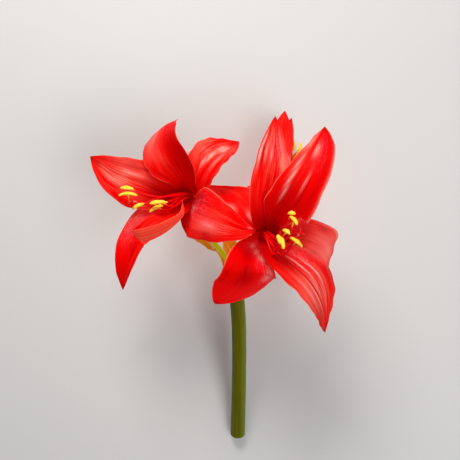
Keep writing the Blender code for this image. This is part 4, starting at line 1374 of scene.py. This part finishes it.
def cut_material(options):
    """Moist pale green tissue with a ring of darker strands, round a hollow middle."""
    paint = Paint("cut_green", options.pale)
    radius, = paint.marks("cut_radius")
    spots = paint.add("ShaderNodeTexVoronoi", {"Vector": paint.here(), "Scale": 620.0})
    paint.over(radius.ramp(0.84, 0.99), tinted(options.green, 1.3))
    paint.over(spots.ramp(0.34, 0.22) * radius.ramp(0.55, 0.62) * 0.5, (0.20, 0.30, 0.06))
    paint.over(radius.ramp(0.5, 0.3), (0.16, 0.17, 0.06))
    return paint.finish(0.38, (paint.cloud(1500.0) + spots * 0.6, 0.5, 0.0003))


def cut_piece(path, material, outer):
    """The cut face of the scape: a rim, a shallow dip and the small hollow of the middle."""
    draw = random.Random(5)
    angles = np.arange(CUT_SIDES) * 2 * math.pi / CUT_SIDES
    wave = sum(np.sin(pace * angles + draw.uniform(0, ANY_PHASE)) for pace in (2, 3, 4, 5))
    rings = [(high, outer * share * (1 + CUT_WAVE * (1 - share) * wave)) for share, high in CUT_PROFILE]
    marks = {"cut_radius": [share for share, _ in CUT_PROFILE]}
    return turned_piece("cut_face", path[-1], unit(path[-1] - path[-2]), rings, CUT_SIDES, material, marks)


class AMARYLLIS_OT_scape(bpy.types.Operator):
    """Makes the thick stalk and its cut end"""

    bl_idname = "amaryllis.scape"
    bl_label = "Scape"

    def execute(self, context):
        options = settings("stalks")
        green = tuple(options.green)
        # Painted light: the scape is painted lighter on its side beyond this X
        middle = float(laid(STALK_LINE[3])[0][0])
        material = stalk_material("scape_green", green, tinted(green, 0.72), 22.0, bleached=middle)
        path, _ = smooth_path(STALK_LINE, SCAPE_ROWS)
        spread = np.linspace(0, len(STALK_RADII) - 1, SCAPE_ROWS)
        dome = np.clip(np.arange(SCAPE_ROWS) / SCAPE_TOP_ROWS, 0, 1)
        radii = np.interp(spread, range(len(STALK_RADII)), STALK_RADII)
        radii *= SCAPE_TOP + (1 - SCAPE_TOP) * np.sqrt(dome * (2 - dome))
        values = {"Sides": options.sides, "Ridges": 16, "Ridge Height": options.ridge, "Seed": 4,
                  "Material": material}
        place(rod_piece("scape_stalk", [(path, radii)], stalk_tree(), values), "scape", "scape")
        place(cut_piece(path, cut_material(options), STALK_RADII[-1]), "scape", "scape")
        return {"FINISHED"}


def bract_material(options):
    """Dry papery brown with fine lengthwise veins and bleached cream patches."""
    paint = Paint("dry_bract", options.brown)
    across, along, seed = paint.blade_place()
    patches = paint.strands(across * 1.6, along * 3.4, seed, 4.0, 0.6)
    vein = paint.strands(across * 24.0, along * 1.6, seed)
    paint.over(vein.ramp(0.42, 0.62), options.gold)
    paint.over(patches.ramp(0.57, 0.65) * 0.9, options.cream)
    paint.over(abs(across).ramp(0.8, 0.98) * 0.85, options.cream)
    paint.over(patches.ramp(0.40, 0.28) * 0.6, (0.30, 0.08, 0.01))
    # The faint emission of the bract's own brown is a painted glow
    return paint.finish(0.72, (vein + paint.cloud(240.0, 4.0), 0.7, 0.0006), {
        "Specular IOR Level": 0.05, "Emission Color": rgba(options.brown), "Emission Strength": 0.16})


class AMARYLLIS_OT_bracts(bpy.types.Operator):
    """Makes the two dry bracts under the umbel"""

    bl_idname = "amaryllis.bracts"
    bl_label = "Bracts"

    def execute(self, context):
        options = settings("bracts")
        material = bract_material(options)
        up = stalk_direction()
        root = np.asarray(UMBEL) - up * VALVE_SEAT
        thick = options.thickness / MM
        for number, valve in enumerate(VALVES, 1):
            grid = blade_grid(valve, root, up, VALVE_BASE, BRACT_ROWS, BRACT_COLUMNS, Relief(39 + number))
            points, faces, marks = leaf_solid(grid, thick, thick * VALVE_EDGE, number)
            piece = new_piece("bract_%d" % number, points, faces, material, marks)
            place(piece, "dry_bract", "spathe_valve_%d" % number)
        return {"FINISHED"}


def floor_material(options):
    paint = Paint("pale_floor", options.floor)
    paint.over(paint.cloud(3.0), tinted(options.floor, 0.97))
    return paint.finish(0.7)


def soft_light(name, light, aim, power, tint):
    """A round lamp at its place, turned to what it lights."""
    spot, size = light
    data = bpy.data.lights.new(name, "AREA")
    data.shape = "DISK"
    data.size = size
    data.energy = power
    data.color = tint
    lamp = linked(name, data)
    lamp.location = spot
    lamp.rotation_euler = (Vector(aim) - Vector(spot)).to_track_quat("-Z", "Y").to_euler()


class AMARYLLIS_OT_stage(bpy.types.Operator):
    """Sets the pale floor, the soft lights and the camera that looks down on the flower"""

    bl_idname = "amaryllis.stage"
    bl_label = "Stage"

    def execute(self, context):
        options = settings("stage")
        scene = context.scene
        mesh = bpy.data.meshes.new("floor")
        corners = [(x * FLOOR_REACH, y * FLOOR_REACH, 0) for x, y in ((-1, -1), (1, -1), (1, 1), (-1, 1))]
        mesh.from_pydata(corners, [], [(0, 1, 2, 3)])
        mesh.materials.append(floor_material(options))
        floor = linked("floor", mesh)
        floor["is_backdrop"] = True
        world = bpy.data.worlds.new("studio")
        world.use_nodes = True
        sky = world.node_tree.nodes["Background"].inputs
        sky["Color"].default_value = (0.93, 0.95, 1.0, 1.0)
        sky["Strength"].default_value = options.sky
        scene.world = world
        head = tuple(laid([(0, 20, 40)])[0])
        soft_light("key", KEY_LIGHT, head, options.key, (1.0, 0.98, 0.95))
        soft_light("fill", FILL_LIGHT, head, options.fill, (0.97, 0.98, 1.0))
        scene.view_settings.view_transform = "Standard"
        self.camera(scene)
        return {"FINISHED"}

    def camera(self, scene):
        data = bpy.data.cameras.new("camera")
        data.sensor_width = SENSOR
        data.lens = LENS
        data.clip_start = CLIP_START
        camera = linked("camera", data)
        turn = Matrix([list(row) for row in TURN]).to_4x4()
        camera.matrix_world = Matrix.Translation(Vector(laid([(0, 0, CAMERA_HEIGHT)])[0])) @ turn
        scene.camera = camera


class AMARYLLIS_PT_panel(bpy.types.Panel):
    """Lists the pieces of the flower"""

    bl_label = "Amaryllis stem"
    bl_idname = "AMARYLLIS_PT_panel"
    bl_space_type = "VIEW_3D"
    bl_region_type = "UI"
    bl_category = "Amaryllis"

    def draw(self, context):
        for name, (group, operators) in GROUPS.items():
            box = self.layout.box()
            box.label(text=name.capitalize())
            for key in group.__annotations__:
                box.prop(settings(name), key)
            for operator in operators:
                box.operator(operator.bl_idname)


GROUPS = {
    "petals": (PetalSettings, [AMARYLLIS_OT_petals]),
    "stamens": (StamenSettings, [AMARYLLIS_OT_stamens]),
    "stalks": (StalkSettings, [AMARYLLIS_OT_pedicels, AMARYLLIS_OT_scape]),
    "bracts": (BractSettings, [AMARYLLIS_OT_bracts]),
    "stage": (StageSettings, [AMARYLLIS_OT_stage]),
}


def register():
    for name, (group, operators) in GROUPS.items():
        bpy.utils.register_class(group)
        setattr(bpy.types.Scene, "amaryllis_" + name, PointerProperty(type=group))
        for operator in operators:
            bpy.utils.register_class(operator)
    bpy.utils.register_class(AMARYLLIS_PT_panel)


def unregister():
    bpy.utils.unregister_class(AMARYLLIS_PT_panel)
    for name, (group, operators) in GROUPS.items():
        for operator in operators:
            bpy.utils.unregister_class(operator)
        delattr(bpy.types.Scene, "amaryllis_" + name)
        bpy.utils.unregister_class(group)


def main():
    for obj in list(bpy.data.objects):
        if obj.type in ("LIGHT", "CAMERA") or obj.name == "Cube":
            bpy.data.objects.remove(obj)
    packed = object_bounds()
    register()
    bpy.ops.amaryllis.petals()
    bpy.ops.amaryllis.stamens()
    bpy.ops.amaryllis.pedicels()
    bpy.ops.amaryllis.scape()
    bpy.ops.amaryllis.bracts()
    bpy.ops.amaryllis.stage()
    boxes = {"packed": packed, "visual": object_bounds()}
    {name: [list(corner) for corner in box] for name, box in boxes.items()}


if __name__ == "__main__":
    main()
